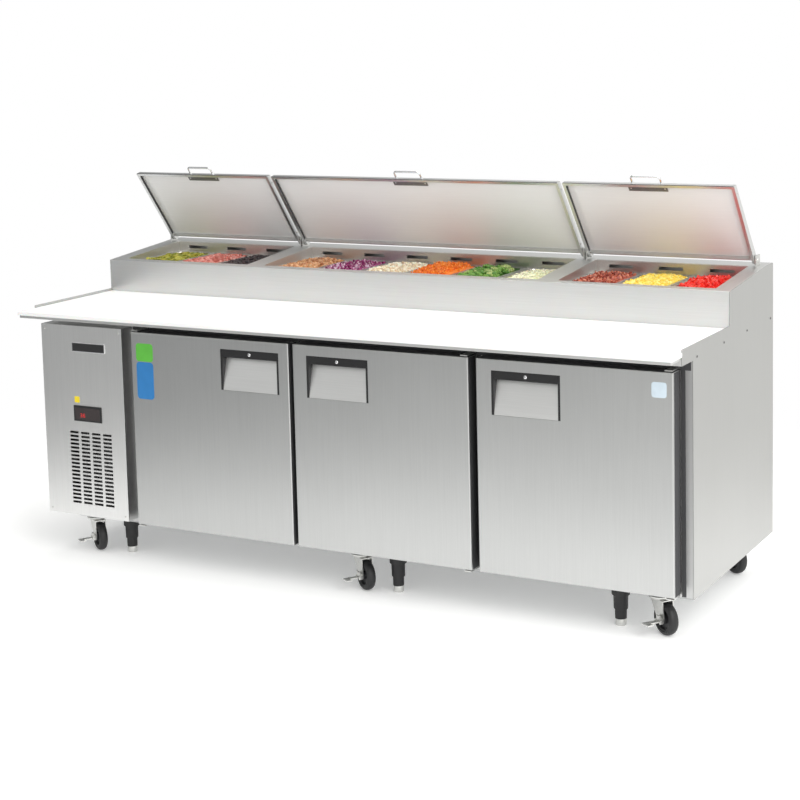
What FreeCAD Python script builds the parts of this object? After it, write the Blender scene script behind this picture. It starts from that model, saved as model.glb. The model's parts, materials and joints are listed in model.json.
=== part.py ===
import FreeCAD, Part
import math
import os
from types import SimpleNamespace

import Sketcher

# Refrigerated sandwich and pizza prep table: an insulated three-door cabinet on casters,
# a full-width cutting board and a raised pan rail under three tilting lids.
# X runs to the right, Y to the back, Z up; the origin is on the floor under the middle.

doc = FreeCAD.newDocument("PrepTable")
sheet = doc.addObject("Spreadsheet::Sheet", "Dims")

DIMENSIONS = {
    # overall envelope
    "total_width": 2365,
    "total_depth": 970,
    "floor_gap": 127,
    "body_front": -300,
    "skin": 4,
    # side panel outline
    "cheek_front": -395,
    "cheek_low": 844,
    "cheek_top": 892,
    "rail_front": 40,
    "rail_front_top": 998,
    "rail_slope_end": 430,
    "rail_back_top": 1030,
    # worktop and board
    "board_top": 884,
    "board_thick": 13,
    "board_gap": 1.5,
    "nose_thick": 10,
    # insulated cabinet
    "wall": 45,
    "frame_thick": 20,
    "cold_left": -834,
    "well_floor": 868,
    # pan rail
    "bay_back": 402,
    "bay_front": 74,
    "bay_1_left": -1126,
    "bay_2_left": -528,
    "bay_3_left": 598,
    "pan_pitch": 176,
    "pan_width": 173,
    "pan_length": 323,
    "pan_seat": 985,
    "pan_depth": 100,
    "pan_sheet": 3,
    "pan_rim": 9,
    "pan_corner": 22,
    "seat_lip": 6,
    "bar_width": 12,
    "bar_thick": 6,
    "slot_length": 84,
    "slot_low": 1001,
    "slot_tall": 11,
    "duct_depth": 46,
    # lids
    "lid_1_left": -1150,
    "lid_2_left": -555,
    "lid_3_left": 571,
    "lid_side_width": 579,
    "lid_mid_width": 1110,
    "lid_hinge_back": 408,
    "lid_hinge_up": 1046,
    "lid_open_angle": 56,
    "lid_reach": 345,
    "lid_under": -17,
    "lid_front_top": 3,
    "lid_back_top": 9.5,
    "lid_nose": 9,
    "lid_tail": -16,
    "lid_wall": 10,
    "lid_recess": 16,
    "lug_radius": 13,
    "bolt_radius": 4,
    "bore_play": 0.05,
    "bracket_thick": 4,
    "lid_side_gap": 1.5,
    "bolt_head": 2,
    "bolt_grip": 8,
    "loop_width": 98,
    "loop_reach": 27,
    "loop_rod": 3.5,
    "loop_bend": 10,
    "loop_up": -6,
    "grip_plate_margin": 17,
    "grip_plate_low": -10,
    "grip_plate_tall": 8.5,
    "grip_plate_deep": 24,
    "grip_plate_sheet": 2.5,
    # doors
    "door_1_left": -794,
    "door_2_left": -146,
    "door_3_left": 512,
    "door_width": 632,
    "door_low": 145,
    "door_tall": 672,
    "door_front": -365,
    "door_back": -314,
    "door_edge_round": 4,
    "gasket_inset": 16,
    "gasket_width": 16,
    "hinge_inset": 15,
    "pull_width": 227,
    "pull_tall": 138,
    "pull_deep": 36,
    "pull_margin": 38,
    "pull_drop": 34,
    "pull_bar": 27,
    "pull_side": 8,
    # compressor compartment
    "panel_low": 148,
    "panel_top": 824,
    "panel_sheet": 3,
    "louvre_left": -1075,
    "louvre_low": 191,
    "louvre_wide": 37,
    "louvre_tall": 8,
    "louvre_pitch_x": 48,
    "louvre_pitch_z": 13.9,
    "louvre_rows": 19,
    "display_left": -1052,
    "display_low": 487,
    "display_wide": 120,
    "display_tall": 55,
    "fan_centre_x": -1005,
    "fan_centre_z": 320,
    "fan_radius": 105,
    "fan_centre_y": -148.5,
    "fan_hub_radius": 24,
    "fan_hub_long": 60,
    "blade_root": 15,
    "blade_chord": 52,
    "blade_thick": 4,
    "blade_tilt": 28,
    "can_y": 190,
    "can_foot": 14,
    "base_half": 105,
    "base_near": 90,
    "base_far": 290,
    "coil_half": 135,
    "coil_front": -240,
    "coil_back": -200,
    "groove_wide": 8,
    "groove_deep": 12,
    "groove_pitch": 21.5,
    "shroud_back": -140,
    "motor_front": -118,
    "motor_radius": 38,
    "motor_long": 60,
    # cold store
    "evaporator_left": -560,
    "evaporator_right": 60,
    "evaporator_deep": 105,
    "evaporator_tall": 170,
    "air_mouth_wide": 150,
    "air_mouth_pitch": 195,
    "shelf_up": 480,
    "shelf_thick": 7,
    "shelf_margin": 14,
    "shelf_slot": 45,
    "shelf_slot_pitch": 53,
    "clip_wide": 18,
    "clip_deep": 16,
    "clip_tall": 8,
    # casters and legs
    "caster_left_x": -1060,
    "caster_mid_x": 30,
    "caster_right_x": 1060,
    "caster_front_y": -255,
    "caster_back_y": 410,
    "caster_yaw": -35,
    "wheel_radius": 50,
    "wheel_width": 31,
    "wheel_trail": 30,
    "axle_radius": 5,
    "fork_gap": 17,
    "fork_thick": 3,
    "pedal_pin_z": 46,
    "pedal_pin_out": 7,
    "pedal_pin_radius": 3,
    "pedal_half": 9,
    "lug_gap": 1,
    "lug_thick": 5,
    "leg_1_x": -915,
    "leg_2_x": 160,
    "leg_3_x": 930,
    "leg_y": -245,
    "leg_socket": 97,
    "leg_step": 52,
    "leg_end": 22,
    "stem_radius": 8,
}

for row, (alias, number) in enumerate(DIMENSIONS.items(), 1):
    cell = "A%d" % row
    sheet.set(cell, str(number))
    sheet.setAlias(cell, alias)
doc.recompute()


class Size:
    """A length that knows both its value and the sheet expression that gives it."""

    def __init__(self, value, text):
        self.value = value
        self.text = text

    def join(self, sign, other, value):
        return Size(value, "(%s %s %s)" % (self.text, sign, as_size(other).text))

    def __add__(self, other):
        return self.join("+", other, self.value + as_size(other).value)

    def __sub__(self, other):
        return self.join("-", other, self.value - as_size(other).value)

    def __mul__(self, other):
        return self.join("*", other, self.value * as_size(other).value)

    def __truediv__(self, other):
        return self.join("/", other, self.value / as_size(other).value)

    def __rsub__(self, other):
        return as_size(other) - self

    def __neg__(self):
        return Size(-self.value, "(0 - %s)" % self.text)


def as_size(item):
    """Let a plain number stand where a Size is wanted."""
    if isinstance(item, Size):
        return item
    return Size(float(item), "(%s)" % item)


D = SimpleNamespace(**{
    alias: Size(float(sheet.get(alias)), "Dims." + alias) for alias in DIMENSIONS
})
HALF = D.total_width / 2
BACK = D.total_depth / 2
INSIDE = HALF - D.skin
NODES = {}


def bind(obj, **sizes):
    """Tie properties to sheet expressions; x, y and z mean the placement's base."""
    for name, size in sizes.items():
        path = "Placement.Base." + name if name in ("x", "y", "z") else name
        obj.setExpression(path, as_size(size).text)


def node(label, obj):
    """Register a finished sub-part under the name of its file."""
    obj.Label = label
    NODES[label] = obj
    return obj


def block(name, x, y, z):
    """Box between two planes on each axis."""
    obj = doc.addObject("Part::Box", name)
    spans = [(as_size(low), as_size(high)) for low, high in (x, y, z)]
    bind(obj, Length=spans[0][1] - spans[0][0])
    bind(obj, Width=spans[1][1] - spans[1][0])
    bind(obj, Height=spans[2][1] - spans[2][0])
    bind(obj, x=spans[0][0], y=spans[1][0], z=spans[2][0])
    return obj


def rod(name, start, direction, radius, length):
    """Cylinder from a start point along a direction."""
    obj = doc.addObject("Part::Cylinder", name)
    turn = FreeCAD.Rotation(FreeCAD.Vector(0, 0, 1), FreeCAD.Vector(*direction))
    obj.Placement = FreeCAD.Placement(FreeCAD.Vector(), turn)
    bind(obj, Radius=radius, Height=length, x=start[0], y=start[1], z=start[2])
    return obj


def elbow(name, centre, turn, bend, radius):
    """Quarter ring that joins two rods; turn places its start and its sweep."""
    obj = doc.addObject("Part::Torus", name)
    obj.Placement = FreeCAD.Placement(FreeCAD.Vector(), turn)
    obj.Angle3 = 90
    bind(obj, Radius1=bend, Radius2=radius, x=centre[0], y=centre[1], z=centre[2])
    return obj


def cut(name, base, *tools):
    obj = doc.addObject("Part::Cut", name)
    obj.Base = base
    obj.Tool = tools[0] if len(tools) == 1 else fuse(name + "_tools", *tools)
    return obj


def fuse(name, *shapes):
    obj = doc.addObject("Part::MultiFuse", name)
    obj.Shapes = list(shapes)
    obj.Refine = True
    return obj


def group(name, *shapes):
    """Separate solids that share one node."""
    obj = doc.addObject("Part::Compound", name)
    obj.Links = list(shapes)
    return obj


def rounded(name, base, radius, wanted):
    """Fillet the edges of base that pass a test."""
    doc.recompute()
    obj = doc.addObject("Part::Fillet", name)
    obj.Base = base
    size = as_size(radius).value
    obj.Edges = [(i, size, size) for i, edge in enumerate(base.Shape.Edges, 1) if wanted(edge)]
    return obj


def runs_along(axis, low=None, high=None):
    """Test for straight edges along an axis, within optional limits on their middle."""
    def wanted(edge):
        first, last = edge.Vertexes[0].Point, edge.Vertexes[-1].Point
        line = last - first
        middle = (first + last) * 0.5
        if line.Length < 1e-6 or abs(abs(line[axis]) - line.Length) > 1e-6:
            return False
        if low is not None and any(middle[i] < low[i] - 1e-3 for i in range(3)):
            return False
        return high is None or all(middle[i] <= high[i] + 1e-3 for i in range(3))
    return wanted


def soft_block(name, x, y, z, radius):
    """Box with its four upright edges rounded."""
    return rounded(name, block(name + "_blank", x, y, z), radius, runs_along(2))


def new_body(name):
    return doc.addObject("PartDesign::Body", name)


def origin_plane(body, role):
    return next(item for item in body.Origin.OriginFeatures if item.Role == role)


def outline(body, name, role, *loops):
    """Sketch of closed polygons on an origin plane, each corner held by two dimensions."""
    sketch = body.newObject("Sketcher::SketchObject", name)
    sketch.AttachmentSupport = [(origin_plane(body, role), "")]
    sketch.MapMode = "FlatFace"
    for loop in loops:
        corners = [(as_size(across), as_size(up)) for across, up in loop]
        first = sketch.GeometryCount
        for i, (across, up) in enumerate(corners):
            after = corners[(i + 1) % len(corners)]
            start = FreeCAD.Vector(across.value, up.value, 0)
            end = FreeCAD.Vector(after[0].value, after[1].value, 0)
            sketch.addGeometry(Part.LineSegment(start, end), False)
        for i, corner in enumerate(corners):
            line = first + i
            following = first + (i + 1) % len(corners)
            sketch.addConstraint(Sketcher.Constraint("Coincident", line, 2, following, 1))
            hold_corner(sketch, line, corner)
    return sketch


def hold_corner(sketch, line, corner):
    """Tie a line's start to the sketch's origin across and up."""
    for kind, axis, size in (("DistanceX", -2, corner[0]), ("DistanceY", -1, corner[1])):
        if abs(size.value) < 1e-9:
            sketch.addConstraint(Sketcher.Constraint("PointOnObject", line, 1, axis))
            continue
        index = sketch.addConstraint(Sketcher.Constraint(kind, -1, 1, line, 1, size.value))
        sketch.setExpression("Constraints[%d]" % index, size.text)


def pad(body, name, sketch, length, reverse=False):
    feature = body.newObject("PartDesign::Pad", name)
    feature.Profile = sketch
    feature.Reversed = reverse
    bind(feature, Length=length)
    body.Tip = feature
    return feature


def revolve(body, name, sketch):
    """Full turn about the sketch's upright axis."""
    feature = body.newObject("PartDesign::Revolution", name)
    feature.Profile = sketch
    feature.ReferenceAxis = (sketch, ["V_Axis"])
    feature.Angle = 360
    body.Tip = feature
    return feature


def turned(name, points):
    """Body of revolution about Z from a half outline in the XZ plane."""
    body = new_body(name)
    revolve(body, name + "_turn", outline(body, name + "_outline", "XZ_Plane", points))
    return body


def place(obj, x, y, z, turn=None):
    """Set a finished object's own placement, with its base bound to the sheet."""
    if turn is not None:
        obj.Placement = FreeCAD.Placement(FreeCAD.Vector(), turn)
    bind(obj, x=x, y=y, z=z)
    return obj


def rail_surface(back):
    """Height of the sloping rail top at a distance back."""
    share = (as_size(back) - D.rail_front) / (D.rail_slope_end - D.rail_front)
    return D.rail_front_top + (D.rail_back_top - D.rail_front_top) * share


# ---------------------------------------------------------------- cabinet shell

def side_panel(label, left):
    """Stepped side sheet: deep body, low cheek beside the board, sloping rail end."""
    body = new_body(label)
    shape = outline(body, label + "_outline", "YZ_Plane", [
        (D.body_front, D.floor_gap),
        (BACK, D.floor_gap),
        (BACK, D.rail_back_top),
        (D.rail_slope_end, D.rail_back_top),
        (D.rail_front, D.rail_front_top),
        (D.rail_front, D.cheek_top),
        (D.cheek_front, D.cheek_top),
        (D.cheek_front, D.cheek_low),
        (D.body_front, D.cheek_low),
    ])
    pad(body, label + "_sheet", shape, D.skin)
    node(label, place(body, left, 0, 0))


def base_pan():
    """Floor sheet with the six caster plates welded under it."""
    floor = block("base_sheet", (-INSIDE, INSIDE), (D.body_front, BACK - D.skin),
                  (D.floor_gap, D.floor_gap + D.skin))
    plates = []
    for name, x, y in caster_places():
        plates.append(block(name + "_plate", (x - 48, x + 48), (y - 40, y + 40),
                            (D.floor_gap - 5, D.floor_gap)))
    node("base_pan", fuse("base_pan_body", floor, *plates))


def back_panel():
    sheet_box = block("back_sheet", (-INSIDE, INSIDE), (BACK - D.skin, BACK),
                      (D.floor_gap, D.rail_back_top))
    node("back_panel", sheet_box)


def front_frame():
    """Face frame with an opening behind each door and one behind the machine panel."""
    top = D.cheek_low
    low = D.floor_gap + D.skin
    rim = D.gasket_inset + D.gasket_width + 2
    body = new_body("front_frame")
    loops = [[(-INSIDE, low), (INSIDE, low), (INSIDE, top), (-INSIDE, top)]]
    for left in (D.door_1_left, D.door_2_left, D.door_3_left):
        right = left + D.door_width
        bottom = D.door_low + rim
        ceiling = D.door_low + D.door_tall - rim
        loops.append([(left + rim, bottom), (right - rim, bottom),
                      (right - rim, ceiling), (left + rim, ceiling)])
    near = -INSIDE + 24
    far = D.cold_left - 20
    loops.append([(near, low + 22), (far, low + 22), (far, top - 36), (near, top - 36)])
    pad(body, "front_frame_plate", outline(body, "front_frame_outline", "XZ_Plane", *loops),
        D.frame_thick)
    node("front_frame", place(body, 0, D.body_front + D.frame_thick, 0))


def cabinet_liner():
    """Foam-filled cold box, open at the front, closed towards the machine bay."""
    low = D.floor_gap + D.skin
    front = D.body_front + D.frame_thick
    outer = block("liner_outer", (D.cold_left, INSIDE), (front, BACK - D.skin),
                  (low, D.cheek_low))
    hollow = block("liner_hollow", (D.cold_left + D.wall, INSIDE - D.wall),
                   (front - 1, BACK - D.skin - D.wall), (low + D.wall, D.cheek_low - D.wall))
    node("cabinet_liner", cut("cabinet_liner_body", outer, hollow))


def worktop():
    """Steel deck between the cheeks with a thin nose that carries the board's overhang."""
    under = D.board_top - D.board_thick
    deck = block("deck", (-INSIDE, INSIDE), (D.cheek_front, D.rail_front), (D.cheek_low, under))
    nose = block("deck_nose", (-INSIDE, INSIDE), (-BACK + 5, D.cheek_front),
                 (under - D.nose_thick, under))
    node("worktop", fuse("worktop_body", deck, nose))


def cutting_board():
    """Board that sits between the cheeks and runs full width in front of them."""
    inner = INSIDE - D.board_gap
    step = D.cheek_front - D.board_gap
    back = D.rail_front - D.board_gap
    body = new_body("cutting_board")
    shape = outline(body, "board_outline", "XY_Plane", [
        (-HALF, -BACK), (HALF, -BACK), (HALF, step), (inner, step),
        (inner, back), (-inner, back), (-inner, step), (-HALF, step),
    ])
    slab = pad(body, "board_slab", shape, D.board_thick)
    doc.recompute()
    top = [name for name, edge in named_edges(slab.Shape)
           if edge.BoundBox.ZMin > D.board_thick.value - 1e-3]
    soften = body.newObject("PartDesign::Fillet", "board_edges")
    soften.Base = (slab, top)
    soften.Radius = 2
    body.Tip = soften
    node("cutting_board", place(body, 0, 0, D.board_top - D.board_thick))


def named_edges(shape):
    return [("Edge%d" % i, edge) for i, edge in enumerate(shape.Edges, 1)]


# ---------------------------------------------------------------- pan rail

BAYS = (
    (1, D.bay_1_left, 3),
    (2, D.bay_2_left, 6),
    (3, D.bay_3_left, 3),
)


def pan_rail_housing():
    """Insulated trough with a sloping top, three pan wells and an air duct behind them."""
    body = new_body("rail_blank")
    profile = outline(body, "rail_profile", "YZ_Plane", [
        (D.rail_front, D.cheek_low),
        (BACK - D.skin, D.cheek_low),
        (BACK - D.skin, D.rail_back_top),
        (D.rail_slope_end, D.rail_back_top),
        (D.rail_front, D.rail_front_top),
    ])
    pad(body, "rail_solid", profile, INSIDE * 2)
    place(body, -INSIDE, 0, 0)
    hollows = []
    for number, left, count in BAYS:
        right = left + D.pan_pitch * count
        tag = "bay_%d_" % number
        hollows.append(block(tag + "mouth", (left, right), (D.bay_front, D.bay_back + 2),
                             (D.pan_seat, D.rail_back_top + 9)))
        hollows.append(block(tag + "well", (left + D.seat_lip, right - D.seat_lip),
                             (D.bay_front + D.seat_lip, D.bay_back - D.seat_lip),
                             (D.well_floor, D.pan_seat + 1)))
        hollows.append(block(tag + "duct", (left + 10, right - 10),
                             (D.bay_back + 1, D.bay_back + D.duct_depth),
                             (D.pan_seat, D.slot_low + 16)))
    node("pan_rail_housing", cut("pan_rail_body", body, *hollows))


def air_duct_cover():
    """Upright plate behind each bay, with one air slot per pan."""
    plates = []
    for number, left, count in BAYS:
        right = left + D.pan_pitch * count
        tag = "duct_%d_" % number
        plate = block(tag + "plate", (left, right), (D.bay_back, D.bay_back + 2),
                      (D.pan_seat, D.rail_back_top - 5))
        slots = []
        for i in range(count):
            middle = left + D.pan_pitch * (i + 0.5)
            slots.append(block(tag + "slot_%d" % i,
                               (middle - D.slot_length / 2, middle + D.slot_length / 2),
                               (D.bay_back - 1, D.bay_back + 3),
                               (D.slot_low, D.slot_low + D.slot_tall)))
        plates.append(cut(tag + "cover", plate, *slots))
    node("air_duct_cover", group("air_duct_cover_set", *plates))


def pan_divider_bars():
    """Bars that carry the pans' long edges, level with the seat."""
    bars = []
    for number, left, count in BAYS:
        for i in range(1, count):
            middle = left + D.pan_pitch * i
            bars.append(block("bar_%d_%d" % (number, i),
                              (middle - D.bar_width / 2, middle + D.bar_width / 2),
                              (D.bay_front + D.seat_lip, D.bay_back - D.seat_lip),
                              (D.pan_seat - D.bar_thick, D.pan_seat)))
    node("pan_divider_bars", group("pan_divider_bar_set", *bars))


def food_pan(name, left):
    """Third-size pan: a flat rim round a deep tub with rounded corners."""
    x = (left, left + D.pan_width)
    middle = (D.bay_front + D.bay_back) / 2
    y = (middle - D.pan_length / 2, middle + D.pan_length / 2)
    top = D.pan_seat + 2
    rim = soft_block(name + "_rim", x, y, (D.pan_seat, top), D.pan_corner - 8)
    inset = D.pan_rim
    tub_x = (x[0] + inset, x[1] - inset)
    tub_y = (y[0] + inset, y[1] - inset)
    tub = soft_block(name + "_tub", tub_x, tub_y, (top - D.pan_depth, top), D.pan_corner)
    sheet_gap = D.pan_sheet
    hollow = soft_block(name + "_hollow",
                        (tub_x[0] + sheet_gap, tub_x[1] - sheet_gap),
                        (tub_y[0] + sheet_gap, tub_y[1] - sheet_gap),
                        (top - D.pan_depth + sheet_gap, top + 5),
                        D.pan_corner - sheet_gap)
    return cut(name, fuse(name + "_blank", rim, tub), hollow)


def food_pans():
    """Three pans to a node, so the wide middle bay has two nodes."""
    side = (D.pan_pitch - D.pan_width) / 2
    for label, left in (("pans_bay_1", D.bay_1_left), ("pans_bay_2_left", D.bay_2_left),
                        ("pans_bay_2_right", D.bay_2_left + D.pan_pitch * 3),
                        ("pans_bay_3", D.bay_3_left)):
        pans = [food_pan("%s_pan_%d" % (label, i), left + D.pan_pitch * i + side)
                for i in range(3)]
        node(label, group(label + "_set", *pans))


# ---------------------------------------------------------------- lids

LIDS = (
    (1, D.lid_1_left, D.lid_side_width),
    (2, D.lid_2_left, D.lid_mid_width),
    (3, D.lid_3_left, D.lid_side_width),
)


def opened():
    """Rotation of a lid about its hinge line, standing open against its stop."""
    slope = math.degrees(math.atan2(D.rail_back_top.value - D.rail_front_top.value,
                                    D.rail_slope_end.value - D.rail_front.value))
    return FreeCAD.Rotation(FreeCAD.Vector(1, 0, 0), slope - D.lid_open_angle.value)


def lid_shell(number, left, width):
    """Wedge-shaped tray with a sloping nose that pivots on two lugs; drawn closed."""
    tag = "lid_%d_" % number
    body = new_body(tag + "blank")
    profile = outline(body, tag + "profile", "YZ_Plane", [
        (-D.lid_reach, D.lid_under),
        (D.lid_tail, D.lid_under),
        (D.lid_tail, D.lid_back_top),
        (D.lid_nose - D.lid_reach, D.lid_front_top),
    ])
    pad(body, tag + "solid", profile, width)
    tray = block(tag + "tray", (D.lid_wall, width - D.lid_wall),
                 (D.lid_wall - D.lid_reach, D.lid_tail - 3),
                 (D.lid_under - 1, D.lid_under + D.lid_recess))
    solids = [cut(tag + "wedge", body, tray)]
    bores = []
    for side, x in (("left", width / 2 - D.loop_width / 2), ("right", width / 2 + D.loop_width / 2)):
        bores.append(rod(tag + side + "_rod_hole", (x, -D.lid_reach - 1, D.loop_up), (0, 1, 0),
                         D.loop_rod + D.bore_play, D.lid_wall + 2))
    for side, start in (("left", as_size(0)), ("right", width - D.lid_wall)):
        arm = block(tag + side + "_arm", (start, start + D.lid_wall), (D.lid_tail - 6, 0),
                    (-D.lug_radius, D.lid_back_top))
        solids.append(arm)
        solids.append(rod(tag + side + "_lug", (start, 0, 0), (1, 0, 0), D.lug_radius,
                          D.lid_wall))
        bores.append(rod(tag + side + "_bore", (start - 1, 0, 0), (1, 0, 0),
                         D.bolt_radius + D.bore_play, D.lid_wall + 2))
    lid = cut(tag + "whole", fuse(tag + "joined", *solids), *bores)
    node(tag + "shell", place(lid, left, D.lid_hinge_back, D.lid_hinge_up, opened()))


def lid_handle(number, left, width):
    """Bent rod loop through the lid's free edge, bolted to an angle plate inside the tray."""
    tag = "lid_%d_" % number
    middle = width / 2
    inner = D.lid_wall - D.lid_reach
    end = -D.lid_reach - D.loop_reach
    up = D.loop_up
    bend = D.loop_bend
    half = D.loop_width / 2
    legs = []
    for side, sign in (("left", -1), ("right", 1)):
        x = middle + half * sign
        legs.append(rod(tag + side + "_leg", (x, inner, up), (0, -1, 0), D.loop_rod,
                        inner - end - bend))
        quarter = FreeCAD.Rotation(FreeCAD.Vector(0, 0, 1), 180 if sign < 0 else 270)
        legs.append(elbow(tag + side + "_bend", (x - bend * sign, end + bend, up), quarter, bend,
                          D.loop_rod))
    cross = rod(tag + "grip", (middle - half + bend, end, up), (1, 0, 0), D.loop_rod,
                D.loop_width - bend * 2)
    loop = fuse(tag + "loop", cross, *legs)
    span = (middle - half - D.grip_plate_margin, middle + half + D.grip_plate_margin)
    low = D.grip_plate_low
    sheet = D.grip_plate_sheet
    upright = block(tag + "plate_upright", span, (inner, inner + sheet),
                    (low, low + D.grip_plate_tall))
    ledge = block(tag + "plate_ledge", span, (inner, inner + D.grip_plate_deep), (low, low + sheet))
    handle = group(tag + "handle_set", loop, fuse(tag + "angle_plate", upright, ledge))
    node(tag + "handle", place(handle, left, D.lid_hinge_back, D.lid_hinge_up, opened()))


def lid_ears():
    """Upright ears whose feet follow the rail's slope, each with the bolt a lid turns on."""
    ears = []
    middle = D.lid_hinge_back
    near = middle - 20
    far = D.rail_slope_end
    crown = D.lid_hinge_up + 18
    for number, left, width in LIDS:
        for side, x, inward in (("left", left - D.lid_side_gap - D.bracket_thick, 1),
                                ("right", left + width + D.lid_side_gap, -1)):
            tag = "ear_%d_%s" % (number, side)
            plate = new_body(tag + "_plate")
            shape = outline(plate, tag + "_outline", "YZ_Plane", [
                (near, rail_surface(near)), (far, rail_surface(far)), (far, crown), (near, crown),
            ])
            pad(plate, tag + "_sheet", shape, D.bracket_thick)
            place(plate, x, 0, 0)
            wall = x if inward > 0 else x + D.bracket_thick
            start = (wall - D.bolt_head * inward, middle, D.lid_hinge_up)
            bolt = rod(tag + "_bolt", start, (inward, 0, 0), D.bolt_radius,
                       D.bolt_head + D.bracket_thick + D.lid_side_gap + D.bolt_grip)
            head = rod(tag + "_head", start, (inward, 0, 0), 7, D.bolt_head)
            ears.append(fuse(tag, plate, bolt, head))
    return ears


# ---------------------------------------------------------------- doors

DOORS = (
    (1, D.door_1_left, "left"),
    (2, D.door_2_left, "right"),
    (3, D.door_3_left, "right"),
)


def hinge_x(left, side):
    """Distance across to a door's pivot line, set in from its hinged edge."""
    if side == "left":
        return left + D.hinge_inset
    return left + D.door_width - D.hinge_inset


def pull_left(left, side):
    """Left edge of the recessed pull, near the edge away from the hinge."""
    if side == "left":
        return left + D.door_width - D.pull_margin - D.pull_width
    return left + D.pull_margin + 14


def door_panel(number, left, side):
    tag = "door_%d_" % number
    right = left + D.door_width
    top = D.door_low + D.door_tall
    blank = block(tag + "blank", (left, right), (D.door_front, D.door_back), (D.door_low, top))
    front = D.door_front.value
    edges = runs_along(0, high=(1e5, front, 1e5))
    uprights = runs_along(2, high=(1e5, front, 1e5))
    soft = rounded(tag + "soft", blank, D.door_edge_round,
                   lambda edge: edges(edge) or uprights(edge))
    x = pull_left(left, side)
    z = top - D.pull_drop
    pocket = block(tag + "pocket", (x, x + D.pull_width),
                   (D.door_front - 1, D.door_front + D.pull_deep), (z - D.pull_tall, z))
    pivot = hinge_x(left, side)
    bore = D.bolt_radius + D.bore_play
    low_bore = rod(tag + "low_bore", (pivot, pivot_back(), D.door_low - 1), (0, 0, 1), bore, 23)
    top_bore = rod(tag + "top_bore", (pivot, pivot_back(), top - 22), (0, 0, 1), bore, 23)
    node(tag + "panel", cut(tag + "panel_body", soft, pocket, low_bore, top_bore))


def pivot_back():
    return D.door_front + D.hinge_inset


def door_handle(number, left, side):
    """Recessed pull: a dark surround with a finger lip and a sloping steel insert."""
    tag = "door_%d_" % number
    x = pull_left(left, side)
    high = D.door_low + D.door_tall - D.pull_drop
    low = high - D.pull_tall
    face = D.door_front
    bed = face + D.pull_deep
    shell = block(tag + "surround_blank", (x, x + D.pull_width), (face, bed), (low, high))
    body = new_body(tag + "pull_hollow")
    lip = high - D.pull_bar
    profile = outline(body, tag + "pull_profile", "YZ_Plane", [
        (face - 1, low - 1),
        (face + 2, low - 1),
        (bed - 3, lip),
        (bed - 3, high - 7),
        (face + 14, high - 7),
        (face + 14, lip),
        (face - 1, lip),
    ])
    pad(body, tag + "pull_space", profile, D.pull_width - D.pull_side * 2)
    place(body, x + D.pull_side, 0, 0)
    surround = cut(tag + "surround", shell, body)
    insert = new_body(tag + "insert")
    strip = outline(insert, tag + "insert_profile", "YZ_Plane", [
        (face + 0.3, low + 0.5),
        (face + 2.3, low + 0.5),
        (bed - 3.1, lip - 0.6),
        (bed - 5.1, lip - 0.6),
    ])
    pad(insert, tag + "insert_plate", strip, D.pull_width - D.pull_side * 2 - 0.4)
    place(insert, x + D.pull_side + 0.2, 0, 0)
    trimmed = cut(tag + "insert_trim", insert, surround)
    node(tag + "handle", group(tag + "handle_set", surround, trimmed))


def door_back_parts(number, left):
    """Inner pan of the door and the magnetic gasket round it."""
    tag = "door_%d_" % number
    right = left + D.door_width
    top = D.door_low + D.door_tall
    inset = D.gasket_inset
    inner = inset + D.gasket_width
    seal_face = D.body_front - 0.3
    outer = block(tag + "seal_outer", (left + inset, right - inset), (D.door_back, seal_face),
                  (D.door_low + inset, top - inset))
    window = block(tag + "seal_window", (left + inner, right - inner),
                   (D.door_back - 1, seal_face + 1), (D.door_low + inner, top - inner))
    node(tag + "gasket", cut(tag + "gasket_ring", outer, window))
    edge = inner + 3
    liner = block(tag + "liner_sheet", (left + edge, right - edge), (D.door_back, D.door_back + 9),
                  (D.door_low + edge, top - edge))
    node(tag + "liner", liner)


def door_brackets():
    """Angle bracket above and below each door, with the pin it turns on."""
    brackets = []
    for number, left, side in DOORS:
        pivot = hinge_x(left, side)
        top = D.door_low + D.door_tall
        for level, z, start in (("top", top + 3, top - 19), ("low", D.door_low - 6, D.door_low - 6)):
            tag = "hinge_%d_%s" % (number, level)
            tongue = block(tag + "_tongue", (pivot - 12, pivot + 12),
                           (D.door_front + 3, D.body_front), (z, z + 3))
            pin = rod(tag + "_pin", (pivot, pivot_back(), start), (0, 0, 1), D.bolt_radius, 25)
            brackets.append(fuse(tag, tongue, pin))
    return brackets


def hinge_brackets():
    """All fixed hinge parts: the ears on the rail and the angle brackets round the doors."""
    node("hinge_brackets", group("hinge_bracket_set", *lid_ears(), *door_brackets()))


# ---------------------------------------------------------------- machine bay

def compressor_panel():
    """Folded front cover with four columns of louvres and a window for the display."""
    back = D.body_front
    shell = block("cover_blank", (-HALF, D.cold_left), (D.door_front, back),
                  (D.panel_low, D.panel_top))
    wall = D.panel_sheet
    hollow = block("cover_hollow", (wall - HALF, D.cold_left - wall),
                   (D.door_front + wall, back + 1), (D.panel_low + wall, D.panel_top - wall))
    window = block("cover_window", (D.display_left + 4, D.display_left + D.display_wide - 4),
                   (D.door_front - 1, D.door_front + wall + 1),
                   (D.display_low + 4, D.display_low + D.display_tall - 4))
    slots = []
    for row in range(int(D.louvre_rows.value)):
        z = D.louvre_low + D.louvre_pitch_z * row
        for column in range(4):
            x = D.louvre_left + D.louvre_pitch_x * column
            slots.append(block("louvre_%d_%d" % (row, column), (x, x + D.louvre_wide),
                               (D.door_front - 1, D.door_front + wall + 1),
                               (z, z + D.louvre_tall)))
    opened_shell = cut("cover_shell", shell, hollow, window)
    node("compressor_panel", cut("cover_body", opened_shell, group("louvre_set", *slots)))


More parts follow.
